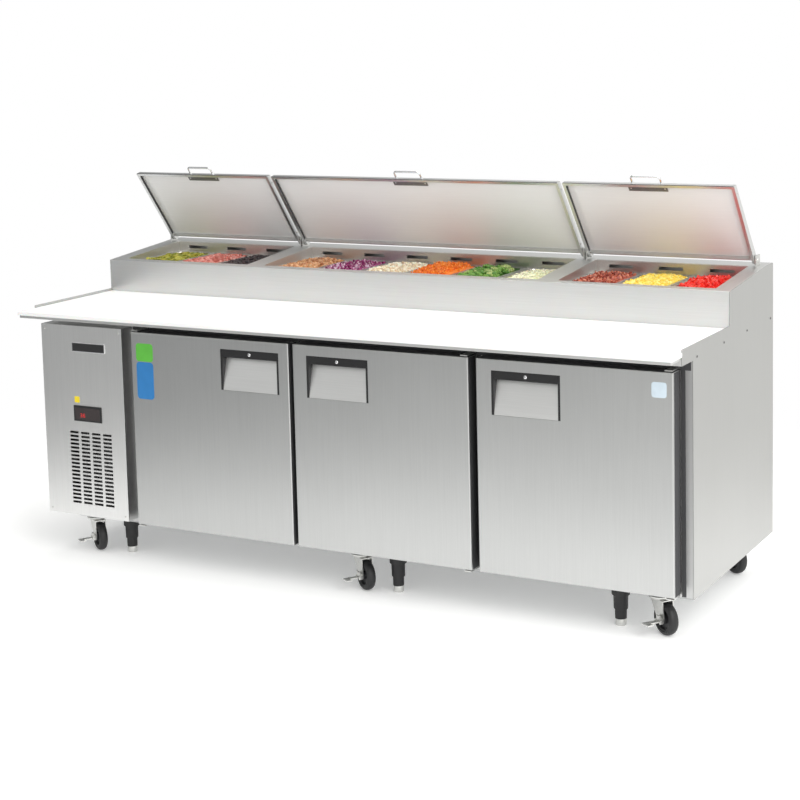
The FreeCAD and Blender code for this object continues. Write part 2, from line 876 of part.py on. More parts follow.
def controller():
    """Digital thermostat: a bezel on the cover's face and its case behind."""
    x = (D.display_left, D.display_left + D.display_wide)
    z = (D.display_low, D.display_low + D.display_tall)
    bezel = block("display_bezel", x, (D.door_front - 3, D.door_front), z)
    case = block("display_case", (x[0] + 5, x[1] - 5), (D.door_front, D.door_front + 45),
                 (z[0] + 5, z[1] - 5))
    node("controller", fuse("controller_body", bezel, case))


def compressor():
    """Hermetic compressor: a domed can on a base plate."""
    low = D.floor_gap + D.skin
    foot = D.can_foot.value
    can = turned("compressor_can", [
        (0, foot), (78, foot), (84, 30), (84, 118), (74, 158), (44, 178), (0, 184),
    ])
    place(can, D.fan_centre_x, D.can_y, low)
    plate = block("compressor_plate", (D.fan_centre_x - D.base_half, D.fan_centre_x + D.base_half),
                  (D.base_near, D.base_far), (low, low + D.can_foot))
    node("compressor", fuse("compressor_body", can, plate))


def condenser_coil():
    """Finned coil block behind the louvres, with the fan shroud on its back."""
    low = D.floor_gap + D.skin
    middle = D.fan_centre_x
    x = (middle - D.coil_half, middle + D.coil_half)
    z = (low, D.fan_centre_z + D.coil_half)
    front, back = D.coil_front, D.coil_back
    coil = block("coil_block", x, (front, back), z)
    grooves = []
    for i in range(12):
        left = x[0] + 12 + D.groove_pitch * i
        grooves.append(block("coil_groove_%d" % i, (left, left + D.groove_wide),
                             (front - 1, front + D.groove_deep), (z[0] + 20, z[1] - 20)))
    finned = cut("coil_finned", coil, group("coil_groove_set", *grooves))
    shroud = block("shroud_plate", x, (back, D.shroud_back), z)
    mouth = rod("shroud_mouth", (middle, back - 1, D.fan_centre_z), (0, 1, 0), D.fan_radius + 8,
                D.shroud_back - back + 2)
    motor = rod("fan_motor", (middle, D.motor_front, D.fan_centre_z), (0, 1, 0), D.motor_radius,
                D.motor_long)
    strut = block("motor_strut", (middle - 12, middle + 12),
                  (D.motor_front, D.motor_front + D.motor_long), (low, D.fan_centre_z - 30))
    node("condenser_coil", group("condenser_set", finned, cut("shroud", shroud, mouth),
                                 fuse("motor_on_strut", motor, strut)))


def condenser_fan():
    """Five-blade fan on a hub, turning about its own axle."""
    hub = rod("fan_hub", (0, -D.fan_hub_long / 2, 0), (0, 1, 0), D.fan_hub_radius, D.fan_hub_long)
    blades = []
    for i in range(5):
        blade = doc.addObject("Part::Box", "fan_blade_%d" % i)
        bind(blade, Length=D.fan_radius - D.blade_root, Width=D.blade_thick, Height=D.blade_chord)
        tilt = FreeCAD.Rotation(FreeCAD.Vector(1, 0, 0), D.blade_tilt.value)
        spin = FreeCAD.Rotation(FreeCAD.Vector(0, 1, 0), 72 * i)
        corner = FreeCAD.Vector(0, -D.blade_thick.value / 2, -D.blade_chord.value / 2)
        root = FreeCAD.Vector(D.blade_root.value, 0, 0)
        offset = spin.multVec(root + tilt.multVec(corner))
        blade.Placement = FreeCAD.Placement(offset, spin.multiply(tilt))
        blades.append(blade)
    fan = fuse("fan_body", hub, *blades)
    node("condenser_fan", place(fan, D.fan_centre_x, D.fan_centre_y, D.fan_centre_z))


# ---------------------------------------------------------------- cold store

def evaporator_unit():
    """Cold coil and its housing, hung from the ceiling at the back of the cabinet."""
    ceiling = D.cheek_low - D.wall
    back = BACK - D.skin - D.wall
    front = back - D.evaporator_deep
    casing = block("evaporator_case", (D.evaporator_left, D.evaporator_right), (front, back),
                   (ceiling - D.evaporator_tall, ceiling))
    mouths = []
    for i in range(3):
        x = D.evaporator_left + 40 + D.air_mouth_pitch * i
        mouths.append(block("evaporator_mouth_%d" % i, (x, x + D.air_mouth_wide),
                            (front - 1, back - 60), (ceiling - 140, ceiling - 30)))
    node("evaporator_unit", cut("evaporator_body", casing, *mouths))


def wire_shelves():
    """One slotted shelf behind each door, on four clips."""
    back = BACK - D.skin - D.wall
    front = D.body_front + D.frame_thick
    low = D.shelf_up
    solids = []
    for number, left, side in DOORS:
        tag = "shelf_%d_" % number
        x = (left + D.shelf_margin, left + D.door_width - D.shelf_margin)
        grid = block(tag + "plate", x, (front + 4, back - 4), (low, low + D.shelf_thick))
        slots = []
        for i in range(11):
            start = x[0] + 12 + D.shelf_slot_pitch * i
            slots.append(block(tag + "slot_%d" % i, (start, start + D.shelf_slot),
                               (front + 24, back - 24), (low - 1, low + D.shelf_thick + 1)))
        solids.append(cut(tag + "grid", grid, group(tag + "slot_set", *slots)))
        for corner, start in (("left", x[0]), ("right", x[1] - D.clip_wide)):
            for depth, near in (("front", front), ("back", back - D.clip_deep)):
                solids.append(block(tag + corner + "_" + depth + "_clip",
                                    (start, start + D.clip_wide), (near, near + D.clip_deep),
                                    (low - D.clip_tall, low)))
    node("wire_shelves", group("wire_shelf_set", *solids))


# ---------------------------------------------------------------- casters and legs

def caster_places():
    places = []
    for row, y in (("front", D.caster_front_y), ("rear", D.caster_back_y)):
        for side, x in (("left", D.caster_left_x), ("mid", D.caster_mid_x),
                        ("right", D.caster_right_x)):
            places.append(("caster_%s_%s" % (row, side), x, y))
    return places


def caster_turn():
    """Casters stand part-turned, trailing forward and to the right."""
    return FreeCAD.Rotation(FreeCAD.Vector(0, 0, 1), D.caster_yaw.value)


def lug_reach():
    """Distance from the middle of the brake lever to the outer face of a lug."""
    return D.pedal_half + D.lug_gap + D.lug_thick


def with_brake_lugs(name, fork):
    """Add two bored lugs on the near cheek that hold the brake lever's pin."""
    wall = -(D.fork_gap + D.fork_thick)
    z = (D.pedal_pin_z - 6, D.pedal_pin_z + 6)
    lugs = []
    for side, x in (("front", D.wheel_trail - lug_reach()),
                    ("back", D.wheel_trail + lug_reach() - D.lug_thick)):
        lugs.append(block(name + "_" + side + "_lug", (x, x + D.lug_thick), (wall - 12, wall), z))
    bore = rod(name + "_pin_bore",
               (D.wheel_trail - lug_reach() - 1, wall - D.pedal_pin_out, D.pedal_pin_z),
               (1, 0, 0), D.pedal_pin_radius + D.bore_play, lug_reach() * 2 + 2)
    return cut(name + "_lugged", fuse(name + "_with_lugs", fork, *lugs), bore)


def caster_fork(name):
    """Swivel head, two side cheeks and the axle, drawn with the wheel trailing along X."""
    crown_low = D.wheel_radius * 2 + 5
    head = rod(name + "_head", (0, 0, crown_low + 3), (0, 0, 1), 30,
               D.floor_gap - 5.3 - crown_low - 3)
    half = D.fork_gap + D.fork_thick
    crown = block(name + "_crown", (-28, 40), (-half, half), (crown_low, crown_low + 3))
    cheeks = []
    for side, start in (("far", D.fork_gap), ("near", -half)):
        body = new_body(name + "_" + side)
        profile = outline(body, name + "_" + side + "_profile", "XZ_Plane", [
            (-24, crown_low + 3),
            (D.wheel_trail - 13, D.wheel_radius - 10),
            (D.wheel_trail + 13, D.wheel_radius - 10),
            (D.wheel_trail + 16, D.wheel_radius + 8),
            (38, crown_low + 3),
        ])
        pad(body, name + "_" + side + "_plate", profile, D.fork_thick, reverse=True)
        cheeks.append(place(body, 0, start, 0))
    axle = rod(name + "_axle", (D.wheel_trail, -half - 3, D.wheel_radius), (0, 1, 0),
               D.axle_radius, half * 2 + 6)
    return fuse(name + "_body", head, crown, axle, *cheeks)


def caster_wheel(name):
    """Wheel with a rounded tread, a dished web and a bored hub, drawn about the Z axis."""
    half = D.wheel_width / 2
    bore = D.axle_radius + D.bore_play
    rim = D.wheel_radius
    return turned(name + "_turned", [
        (bore, -half), (16, -half), (16, 5 - half), (rim - 16, 5 - half), (rim - 14, -half),
        (rim - 4, -half), (rim, 4 - half), (rim, half - 4), (rim - 4, half),
        (rim - 14, half), (rim - 16, half - 5), (16, half - 5), (16, half), (bore, half),
    ])


def brake_pedal(name):
    """Side lever with a foot tab, turning on a pin held by the fork's two lugs."""
    pin_y = -(D.fork_gap + D.fork_thick + D.pedal_pin_out)
    x = (D.wheel_trail - D.pedal_half, D.wheel_trail + D.pedal_half)
    low = D.pedal_pin_z - 2
    pin = rod(name + "_pin", (D.wheel_trail - lug_reach(), pin_y, D.pedal_pin_z), (1, 0, 0),
              D.pedal_pin_radius, lug_reach() * 2)
    root = block(name + "_root", x, (pin_y - 3, pin_y + 3), (low, D.pedal_pin_z + 18))
    arm = block(name + "_arm", x, (pin_y - 34, pin_y), (low, low + 4))
    tab = block(name + "_tab", (D.wheel_trail - 17, D.wheel_trail + 17),
                (pin_y - 50, pin_y - 30), (low - 3, low + 1))
    return fuse(name + "_lever", pin, root, arm, tab)


def casters():
    for name, x, y in caster_places():
        braked = "front" in name
        fork = caster_fork(name)
        if braked:
            fork = with_brake_lugs(name, fork)
        node(name + "_fork", place(fork, x, y, 0, caster_turn()))
        wheel = caster_wheel(name)
        hub_x = x + D.wheel_trail * math.cos(math.radians(D.caster_yaw.value))
        hub_y = y + D.wheel_trail * math.sin(math.radians(D.caster_yaw.value))
        upright = FreeCAD.Rotation(FreeCAD.Vector(1, 0, 0), 90)
        node(name + "_wheel", place(wheel, hub_x, hub_y, D.wheel_radius,
                                    caster_turn().multiply(upright)))
        if braked:
            node(name + "_brake", place(brake_pedal(name), x, y, 0, caster_turn()))


def legs():
    """Fixed leg bodies with a levelling foot screwed into each."""
    bodies = []
    bore = D.stem_radius + D.bore_play
    for number, x in ((1, D.leg_1_x), (2, D.leg_2_x), (3, D.leg_3_x)):
        shell = turned("leg_%d_shell" % number, [
            (bore, D.leg_end), (18, D.leg_end), (18.6, D.leg_step), (22, D.leg_step + 1),
            (23, D.leg_socket), (28, D.leg_socket), (28, D.floor_gap), (0, D.floor_gap),
            (0, D.floor_gap - 12), (bore, D.floor_gap - 12),
        ])
        bodies.append(place(shell, x, D.leg_y, 0))
        foot = turned("leg_%d_foot" % number, [
            (0, 0), (15.5, 0), (17, 1.5), (17, D.leg_end - 0.5), (D.stem_radius, D.leg_end - 0.5),
            (D.stem_radius, D.floor_gap - 20), (0, D.floor_gap - 20),
        ])
        node("leg_%d_foot" % number, place(foot, x, D.leg_y, 0))
    node("leg_bodies", group("leg_body_set", *bodies))


# ---------------------------------------------------------------- assembly

def build():
    side_panel("side_panel_left", -HALF)
    side_panel("side_panel_right", INSIDE)
    base_pan()
    back_panel()
    front_frame()
    cabinet_liner()
    worktop()
    cutting_board()
    pan_rail_housing()
    air_duct_cover()
    pan_divider_bars()
    food_pans()
    for lid in LIDS:
        lid_shell(*lid)
        lid_handle(*lid)
    for number, left, side in DOORS:
        door_panel(number, left, side)
        door_handle(number, left, side)
        door_back_parts(number, left)
    hinge_brackets()
    compressor_panel()
    controller()
    compressor()
    condenser_coil()
    condenser_fan()
    evaporator_unit()
    wire_shelves()
    casters()
    legs()


def check_document():
    """Stop if any object failed to recompute or any sub-part has no sound shape."""
    for obj in doc.Objects:
        if "Invalid" in obj.State or "Error" in obj.State:
            raise RuntimeError("%s failed to recompute: %s" % (obj.Name, obj.State))
    for label, obj in NODES.items():
        if obj.Shape.isNull() or not obj.Shape.isValid() or not obj.Shape.Solids:
            raise RuntimeError("%s has no valid solid" % label)


build()
doc.recompute()
check_document()
os.makedirs("parts", exist_ok=True)
for label, obj in NODES.items():
    obj.Shape.exportStep("parts/%s.step" % label)
    print("%-26s %3d solids  %8.3f litres" % (label, len(obj.Shape.Solids), obj.Shape.Volume / 1e6))
print(len(NODES), "nodes")
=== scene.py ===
import json
import math
import random

import bmesh
import bpy
from mathutils import Euler, Matrix, Vector, noise

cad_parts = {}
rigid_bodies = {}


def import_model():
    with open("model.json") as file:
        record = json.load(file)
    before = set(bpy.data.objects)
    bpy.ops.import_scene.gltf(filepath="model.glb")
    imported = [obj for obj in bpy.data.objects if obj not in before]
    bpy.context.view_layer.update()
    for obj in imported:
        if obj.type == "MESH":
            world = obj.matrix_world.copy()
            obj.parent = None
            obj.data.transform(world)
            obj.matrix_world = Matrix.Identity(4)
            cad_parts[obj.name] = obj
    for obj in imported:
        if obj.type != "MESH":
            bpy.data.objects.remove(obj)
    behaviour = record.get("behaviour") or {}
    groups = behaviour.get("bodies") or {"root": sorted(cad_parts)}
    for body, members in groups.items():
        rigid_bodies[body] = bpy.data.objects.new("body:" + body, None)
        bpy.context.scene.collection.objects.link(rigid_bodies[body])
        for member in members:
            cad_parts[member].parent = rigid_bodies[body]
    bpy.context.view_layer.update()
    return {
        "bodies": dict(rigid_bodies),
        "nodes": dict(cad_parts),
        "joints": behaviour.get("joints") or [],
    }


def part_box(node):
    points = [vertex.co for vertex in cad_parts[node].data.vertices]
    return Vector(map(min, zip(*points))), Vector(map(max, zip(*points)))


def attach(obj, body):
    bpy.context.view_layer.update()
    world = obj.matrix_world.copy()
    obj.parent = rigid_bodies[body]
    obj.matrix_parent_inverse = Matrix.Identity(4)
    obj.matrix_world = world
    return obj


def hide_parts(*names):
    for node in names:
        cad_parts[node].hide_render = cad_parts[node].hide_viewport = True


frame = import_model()

# Looks of a refrigerated prep table. Metres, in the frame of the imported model: X to the right,
# Y to the back, Z up, origin on the floor under the middle.

PAN_NODES = (("pans_bay_1", "pans_1"), ("pans_bay_2_left", "pans_2"),
             ("pans_bay_2_right", "pans_2"), ("pans_bay_3", "pans_3"))
JOINTS = {joint["name"]: joint for joint in frame["joints"]}
MM = 0.001


# ---------------------------------------------------------------- camera, light, floor

CAMERA_PLACE = (2.8735, -5.1668, 1.8268)
CAMERA_YAW = math.radians(29.406)
CAMERA_PITCH = math.radians(6.824)
CAMERA_ROLL = math.radians(-1.473)
CAMERA_LENS = 80.06
CAMERA_SHIFT = (0.0329, -0.2)


def make_camera():
    yaw, pitch, roll = CAMERA_YAW, CAMERA_PITCH, CAMERA_ROLL
    ahead = Vector((-math.sin(yaw) * math.cos(pitch), math.cos(yaw) * math.cos(pitch),
                    -math.sin(pitch)))
    level = Vector((math.cos(yaw), math.sin(yaw), 0))
    upright = level.cross(ahead)
    right = level * math.cos(roll) + upright * math.sin(roll)
    up = upright * math.cos(roll) - level * math.sin(roll)
    data = bpy.data.cameras.new("photo_camera")
    data.lens = CAMERA_LENS
    data.sensor_width = 36
    data.shift_x, data.shift_y = CAMERA_SHIFT
    data.clip_end = 200
    camera = bpy.data.objects.new("photo_camera", data)
    turn = Matrix((right, up, -ahead)).transposed().to_4x4()
    camera.matrix_world = Matrix.Translation(CAMERA_PLACE) @ turn
    bpy.context.scene.collection.objects.link(camera)
    bpy.context.scene.camera = camera


def soft_box(name, place, aim, size, power):
    data = bpy.data.lights.new(name, "AREA")
    data.shape = "RECTANGLE"
    data.size, data.size_y = size
    data.energy = power
    lamp = bpy.data.objects.new(name, data)
    lamp.location = place
    lamp.rotation_euler = (Vector(aim) - Vector(place)).to_track_quat("-Z", "Y").to_euler()
    bpy.context.scene.collection.objects.link(lamp)


SURROUND_LEFT = (0.17, 0.175, 0.18, 1)
SURROUND_RIGHT = (1.0, 1.0, 0.98, 1)
SURROUND_SPAN = (-0.68, 0.0)


def make_studio():
    """White surround that dims to the left in reflections, and three soft boxes."""
    world = bpy.data.worlds.new("studio")
    bpy.context.scene.world = world
    world.use_nodes = True
    tree = world.node_tree
    tree.nodes.clear()
    out = tree.nodes.new("ShaderNodeOutputWorld")
    mix = tree.nodes.new("ShaderNodeMixShader")
    seen = tree.nodes.new("ShaderNodeBackground")
    lit = tree.nodes.new("ShaderNodeBackground")
    path = tree.nodes.new("ShaderNodeLightPath")
    where = tree.nodes.new("ShaderNodeTexCoord")
    split = tree.nodes.new("ShaderNodeSeparateXYZ")
    ramp = tree.nodes.new("ShaderNodeValToRGB")
    spread = tree.nodes.new("ShaderNodeMapRange")
    seen.inputs["Color"].default_value = (1, 1, 1, 1)
    spread.inputs["From Min"].default_value = SURROUND_SPAN[0]
    spread.inputs["From Max"].default_value = SURROUND_SPAN[1]
    ramp.color_ramp.elements[0].color = SURROUND_LEFT
    ramp.color_ramp.elements[1].color = SURROUND_RIGHT
    tree.links.new(where.outputs["Generated"], split.inputs[0])
    tree.links.new(split.outputs["X"], spread.inputs["Value"])
    tree.links.new(spread.outputs[0], ramp.inputs[0])
    tree.links.new(ramp.outputs[0], lit.inputs["Color"])
    tree.links.new(path.outputs["Is Camera Ray"], mix.inputs[0])
    tree.links.new(lit.outputs[0], mix.inputs[1])
    tree.links.new(seen.outputs[0], mix.inputs[2])
    tree.links.new(mix.outputs[0], out.inputs["Surface"])
    soft_box("key", (4.4, -3.2, 3.6), (0.4, 0, 0.6), (3.2, 3.2), 165)
    soft_box("top", (0.4, 0.2, 4.4), (0.2, 0, 0.8), (4.5, 2.6), 90)
    soft_box("fill", (-3.8, -3.2, 2.0), (-0.4, 0, 0.6), (2.4, 2.4), 10)
    bpy.context.scene.view_settings.view_transform = "Standard"


FLOOR_GLOW = 0.22
FLOOR_FADE = (0.9, 2.7)
FLOOR_STRETCH = (0.72, 1.0, 1.0)


def make_floor():
    """Pale paper that thins out to the white surround a little way from the table."""
    bm = bmesh.new()
    bmesh.ops.create_grid(bm, x_segments=4, y_segments=4, size=6)
    mesh = bpy.data.meshes.new("floor")
    bm.to_mesh(mesh)
    bm.free()
    floor = bpy.data.objects.new("floor", mesh)
    bpy.context.scene.collection.objects.link(floor)
    paper = surface("floor_paper", (0.97, 0.97, 0.965), 0.7, contrast=0.006, scale=3)
    tree = paper.node_tree
    nodes, links = tree.nodes, tree.links
    shader = nodes["Principled BSDF"]
    shader.inputs["Emission Color"].default_value = (1, 1, 1, 1)
    shader.inputs["Emission Strength"].default_value = FLOOR_GLOW
    where = nodes.new("ShaderNodeTexCoord")
    stretch = nodes.new("ShaderNodeMapping")
    stretch.inputs["Scale"].default_value = FLOOR_STRETCH
    far = nodes.new("ShaderNodeVectorMath")
    far.operation = "LENGTH"
    fade = nodes.new("ShaderNodeMapRange")
    fade.interpolation_type = "SMOOTHSTEP"
    fade.inputs["From Min"].default_value = FLOOR_FADE[0]
    fade.inputs["From Max"].default_value = FLOOR_FADE[1]
    clear = nodes.new("ShaderNodeBsdfTransparent")
    mix = nodes.new("ShaderNodeMixShader")
    links.new(where.outputs["Object"], stretch.inputs["Vector"])
    links.new(stretch.outputs[0], far.inputs[0])
    links.new(far.outputs["Value"], fade.inputs["Value"])
    links.new(fade.outputs[0], mix.inputs[0])
    links.new(shader.outputs[0], mix.inputs[1])
    links.new(clear.outputs[0], mix.inputs[2])
    links.new(mix.outputs[0], nodes["Material Output"].inputs["Surface"])
    mesh.materials.append(paper)


# ---------------------------------------------------------------- materials

FINE_SHARE = 0.55


def scaled(colour, factor):
    return tuple(min(1.0, part * factor) for part in colour) + (1,)


def surface(name, colour, rough, metal=0.0, grain=(1, 1, 1), scale=60, contrast=0.10,
            swing=0.06, bump=0.0, depth=0.0004, blotch=2.2, soft=0.0, coat=0.0, spangle=False):
    """Principled material whose tone, gloss and relief come from noise in object space."""
    material = bpy.data.materials.new(name)
    material.use_nodes = True
    tree = material.node_tree
    nodes, links = tree.nodes, tree.links
    shader = nodes["Principled BSDF"]
    shader.inputs["Metallic"].default_value = metal
    shader.inputs["Subsurface Weight"].default_value = soft
    shader.inputs["Subsurface Scale"].default_value = 0.004
    shader.inputs["Coat Weight"].default_value = coat
    where = nodes.new("ShaderNodeTexCoord")
    stretch = nodes.new("ShaderNodeMapping")
    stretch.inputs["Scale"].default_value = grain
    links.new(where.outputs["Object"], stretch.inputs["Vector"])
    if spangle:
        fine = nodes.new("ShaderNodeTexVoronoi")
        fine_value = fine.outputs["Color"]
    else:
        fine = nodes.new("ShaderNodeTexNoise")
        fine.inputs["Detail"].default_value = 5
        fine_value = fine.outputs["Fac"]
    fine.inputs["Scale"].default_value = scale
    links.new(stretch.outputs[0], fine.inputs["Vector"])
    broad = nodes.new("ShaderNodeTexNoise")
    broad.inputs["Scale"].default_value = blotch
    broad.inputs["Detail"].default_value = 3
    links.new(where.outputs["Object"], broad.inputs["Vector"])
    blend = nodes.new("ShaderNodeMath")
    blend.operation = "MULTIPLY_ADD"
    blend.inputs[1].default_value = 1 - FINE_SHARE
    part = nodes.new("ShaderNodeMath")
    part.operation = "MULTIPLY"
    part.inputs[1].default_value = FINE_SHARE
    links.new(fine_value, part.inputs[0])
    links.new(broad.outputs["Fac"], blend.inputs[0])
    links.new(part.outputs[0], blend.inputs[2])
    ramp = nodes.new("ShaderNodeValToRGB")
    ramp.color_ramp.elements[0].position = 0.30
    ramp.color_ramp.elements[1].position = 0.70
    ramp.color_ramp.elements[0].color = scaled(colour, 1 - contrast)
    ramp.color_ramp.elements[1].color = scaled(colour, 1 + contrast)
    links.new(blend.outputs[0], ramp.inputs[0])
    links.new(ramp.outputs[0], shader.inputs["Base Color"])
    gloss = nodes.new("ShaderNodeMapRange")
    gloss.inputs["To Min"].default_value = max(0.03, rough - swing)
    gloss.inputs["To Max"].default_value = min(1.0, rough + swing)
    links.new(blend.outputs[0], gloss.inputs["Value"])
    links.new(gloss.outputs[0], shader.inputs["Roughness"])
    if bump:
        relief = nodes.new("ShaderNodeBump")
        relief.inputs["Strength"].default_value = bump
        relief.inputs["Distance"].default_value = depth
        links.new(fine_value, relief.inputs["Height"])
        links.new(relief.outputs[0], shader.inputs["Normal"])
    return material


# How far the grain is squeezed along each axis, for brush lines along X or along Z.
ACROSS = (1.5, 110, 110)
UPRIGHT = (110, 110, 1.5)


def brushed(name, colour, grain, rough=0.36, contrast=0.045):
    """Satin steel with fine brush lines along one axis and faint handling blotches."""
    return surface(name, colour, rough, metal=1.0, grain=grain, scale=4.0, contrast=contrast,
                   swing=0.05, bump=0.12, depth=0.0002, blotch=1.6)


def make_materials():
    return {
        "door_steel": brushed("door_steel", (0.575, 0.58, 0.575), UPRIGHT),
        "cover_steel": brushed("cover_steel", (0.84, 0.84, 0.83), UPRIGHT),
        "side_steel": brushed("side_steel", (0.51, 0.51, 0.50), UPRIGHT, rough=0.42),
        "rail_steel": brushed("rail_steel", (0.72, 0.72, 0.71), ACROSS, rough=0.40),
        "lid_steel": brushed("lid_steel", (0.70, 0.705, 0.70), ACROSS, rough=0.34),
        "frame_steel": brushed("frame_steel", (0.55, 0.55, 0.55), ACROSS),
        "pan_steel": brushed("pan_steel", (0.60, 0.585, 0.56), (60, 3, 60), rough=0.30,
                             contrast=0.08),
        "pull_steel": brushed("pull_steel", (0.82, 0.82, 0.81), ACROSS, rough=0.45),
        "lining": surface("lining", (0.84, 0.84, 0.835), 0.60, metal=0.08, grain=ACROSS, scale=4,
                          contrast=0.03, bump=0.05),
        "liner": surface("liner", (0.78, 0.79, 0.80), 0.38, metal=0.85, scale=45,
                         contrast=0.05, bump=0.15),
        "galvanised": surface("galvanised", (0.47, 0.48, 0.48), 0.46, metal=0.9, scale=130,
                              contrast=0.08, spangle=True),
        "zinc": surface("zinc", (0.66, 0.66, 0.64), 0.33, metal=0.95, scale=130,
                        contrast=0.13, bump=0.12),
        "dark_zinc": surface("dark_zinc", (0.20, 0.20, 0.20), 0.40, metal=0.7, scale=130,
                             contrast=0.15),
        "chrome": surface("chrome", (0.86, 0.86, 0.87), 0.11, metal=1.0, scale=90,
                          contrast=0.03, swing=0.04),
        "board": surface("board", (0.91, 0.91, 0.90), 0.50, grain=(14, 90, 90), scale=5,
                         contrast=0.02, swing=0.10, bump=0.18, depth=0.0003, soft=0.15),
        "plastic": surface("plastic", (0.010, 0.010, 0.011), 0.50, scale=900, contrast=0.30,
                           bump=0.22, depth=0.0002),
        # The gasket rubber also colours the dark sheets of painted shade in the door gaps, on the
        # face frame and inside the lids.
        "gasket": surface("gasket", (0.045, 0.045, 0.048), 0.68, scale=300, contrast=0.25,
                          bump=0.20),
        "tread": surface("tread", (0.012, 0.012, 0.013), 0.50, scale=420, contrast=0.35,
                         bump=0.25, swing=0.12),
        "hub": surface("hub", (0.026, 0.026, 0.028), 0.42, scale=260, contrast=0.25, bump=0.12),
        "window": surface("window", (0.045, 0.036, 0.036), 0.12, scale=30, contrast=0.15,
                          coat=0.6),
        "black_paint": surface("black_paint", (0.020, 0.020, 0.021), 0.38, scale=220,
                               contrast=0.30, bump=0.15, coat=0.3),
        "fins": surface("fins", (0.42, 0.43, 0.44), 0.5, metal=0.8, grain=(260, 1, 1), scale=6,
                        contrast=0.25, bump=0.5),
    }


def glowing(name, colour, strength):
    """Lit segment with a slightly uneven tone."""
    material = surface(name, colour, 0.4, scale=200, contrast=0.12)
    shader = material.node_tree.nodes["Principled BSDF"]
    shader.inputs["Emission Color"].default_value = (*colour, 1)
    shader.inputs["Emission Strength"].default_value = strength
    return material


# ---------------------------------------------------------------- mesh helpers

FOLD_ANGLE = 38
WELD_GAP = 1e-5


def finish_mesh(name, mesh, materials, body, slot=None, sharp=FOLD_ANGLE, bevel=0.0, segments=2):
    """Turn a mesh into a piece that rides on a body."""
    for material in materials:
        mesh.materials.append(material)
    mesh.shade_smooth()
    mesh.set_sharp_from_angle(angle=math.radians(sharp))
    obj = bpy.data.objects.new(name, mesh)
    bpy.context.scene.collection.objects.link(obj)
    if bevel:
        soften(obj, bevel, segments)
    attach(obj, body)
    return obj


def soften(obj, width, segments=2):
    edge = obj.modifiers.new("soft_edges", "BEVEL")
    edge.width = width
    edge.segments = segments
    edge.limit_method = "ANGLE"
    edge.angle_limit = math.radians(FOLD_ANGLE)
    edge.harden_normals = True
    edge.use_clamp_overlap = True


def from_bmesh(name, bm, materials, body, **options):
    bmesh.ops.recalc_face_normals(bm, faces=bm.faces)
    mesh = bpy.data.meshes.new(name)
    bm.to_mesh(mesh)
    bm.free()
    return finish_mesh(name, mesh, materials, body, **options)


def slab(bm, low, high, where=Matrix()):
    """Closed box between two corners."""
    corners = [Vector((x, y, z)) for x in (low[0], high[0]) for y in (low[1], high[1])
               for z in (low[2], high[2])]
    verts = [bm.verts.new(where @ corner) for corner in corners]
    for face in ((0, 1, 3, 2), (4, 6, 7, 5), (0, 4, 5, 1), (2, 3, 7, 6), (0, 2, 6, 4),
                 (1, 5, 7, 3)):
        bm.faces.new([verts[i] for i in face])


def prism(bm, outline, low, high, where=Matrix()):
    """Outline of (y, z) points pushed along X."""
    near = [bm.verts.new(where @ Vector((low, y, z))) for y, z in outline]
    far = [bm.verts.new(where @ Vector((high, y, z))) for y, z in outline]
    bm.faces.new(near)
    bm.faces.new(list(reversed(far)))
    for i in range(len(outline)):
        after = (i + 1) % len(outline)
        bm.faces.new([near[i], far[i], far[after], near[after]])


def lathe(bm, profile, segments=32, where=Matrix()):
    """Turn (radius, height) points about Z; points on the axis close the ends."""
    rings = []
    for radius, height in profile:
        if not radius:
            rings.append([bm.verts.new(where @ Vector((0, 0, height)))])
            continue
        rings.append([bm.verts.new(where @ Vector((radius * math.cos(a), radius * math.sin(a),
                                                   height)))
                      for a in (2 * math.pi * i / segments for i in range(segments))])
    for first, second in zip(rings, rings[1:]):
        for i in range(segments):
            j = (i + 1) % segments
            loop = [first[i % len(first)], first[j % len(first)],
                    second[j % len(second)], second[i % len(second)]]
            face = list(dict.fromkeys(loop))
            if len(face) > 2:
                bm.faces.new(face)


def tube(bm, points, radius, segments=10, closed=False):
    """Round bar through a list of points."""
    points = [Vector(p) for p in points]
    count = len(points)
    side = None
    rings = []
    for i, point in enumerate(points):
        before = points[i - 1] if i or closed else point
        after = points[(i + 1) % count] if i + 1 < count or closed else point
        ahead = (after - before).normalized()
        if side is None:
            side = ahead.orthogonal().normalized()
        side = (side - ahead * side.dot(ahead)).normalized()
        other = ahead.cross(side)
        rings.append([bm.verts.new(point + (side * math.cos(a) + other * math.sin(a)) * radius)
                      for a in (2 * math.pi * k / segments for k in range(segments))])
    pairs = list(zip(rings, rings[1:])) + ([(rings[-1], rings[0])] if closed else [])
    for first, second in pairs:
        for k in range(segments):
            j = (k + 1) % segments
            bm.faces.new([first[k], first[j], second[j], second[k]])
    if not closed:
        bm.faces.new(list(reversed(rings[0])))
        bm.faces.new(rings[-1])


FACING = {
    "front": Matrix.Rotation(math.radians(90), 4, "X"),
    "right": Matrix.Rotation(math.radians(90), 4, "Y"),
    "left": Matrix.Rotation(math.radians(-90), 4, "Y"),
}


def screw(bm, place, facing, radius=4.5 * MM, where=Matrix()):
    """Pan-head screw with a recessed drive, standing on a surface."""
    turn = where @ Matrix.Translation(place) @ FACING[facing]
    lathe(bm, [(0, 0.20 * radius), (0.30 * radius, 0.20 * radius), (0.36 * radius, 0.50 * radius),
               (0.72 * radius, 0.42 * radius), (radius, 0.14 * radius), (radius, 0)], 20, turn)


def dress(node, material, bevel=0.0):
    """Give a carried-over CAD node its finish, and lightly eased edges."""
    obj = frame["nodes"][node]
    obj.data.materials.clear()
    obj.data.materials.append(material)
    if bevel:
        weld = obj.modifiers.new("weld", "WELD")
        weld.merge_threshold = WELD_GAP
        soften(obj, bevel)


# ---------------------------------------------------------------- carried-over CAD nodes

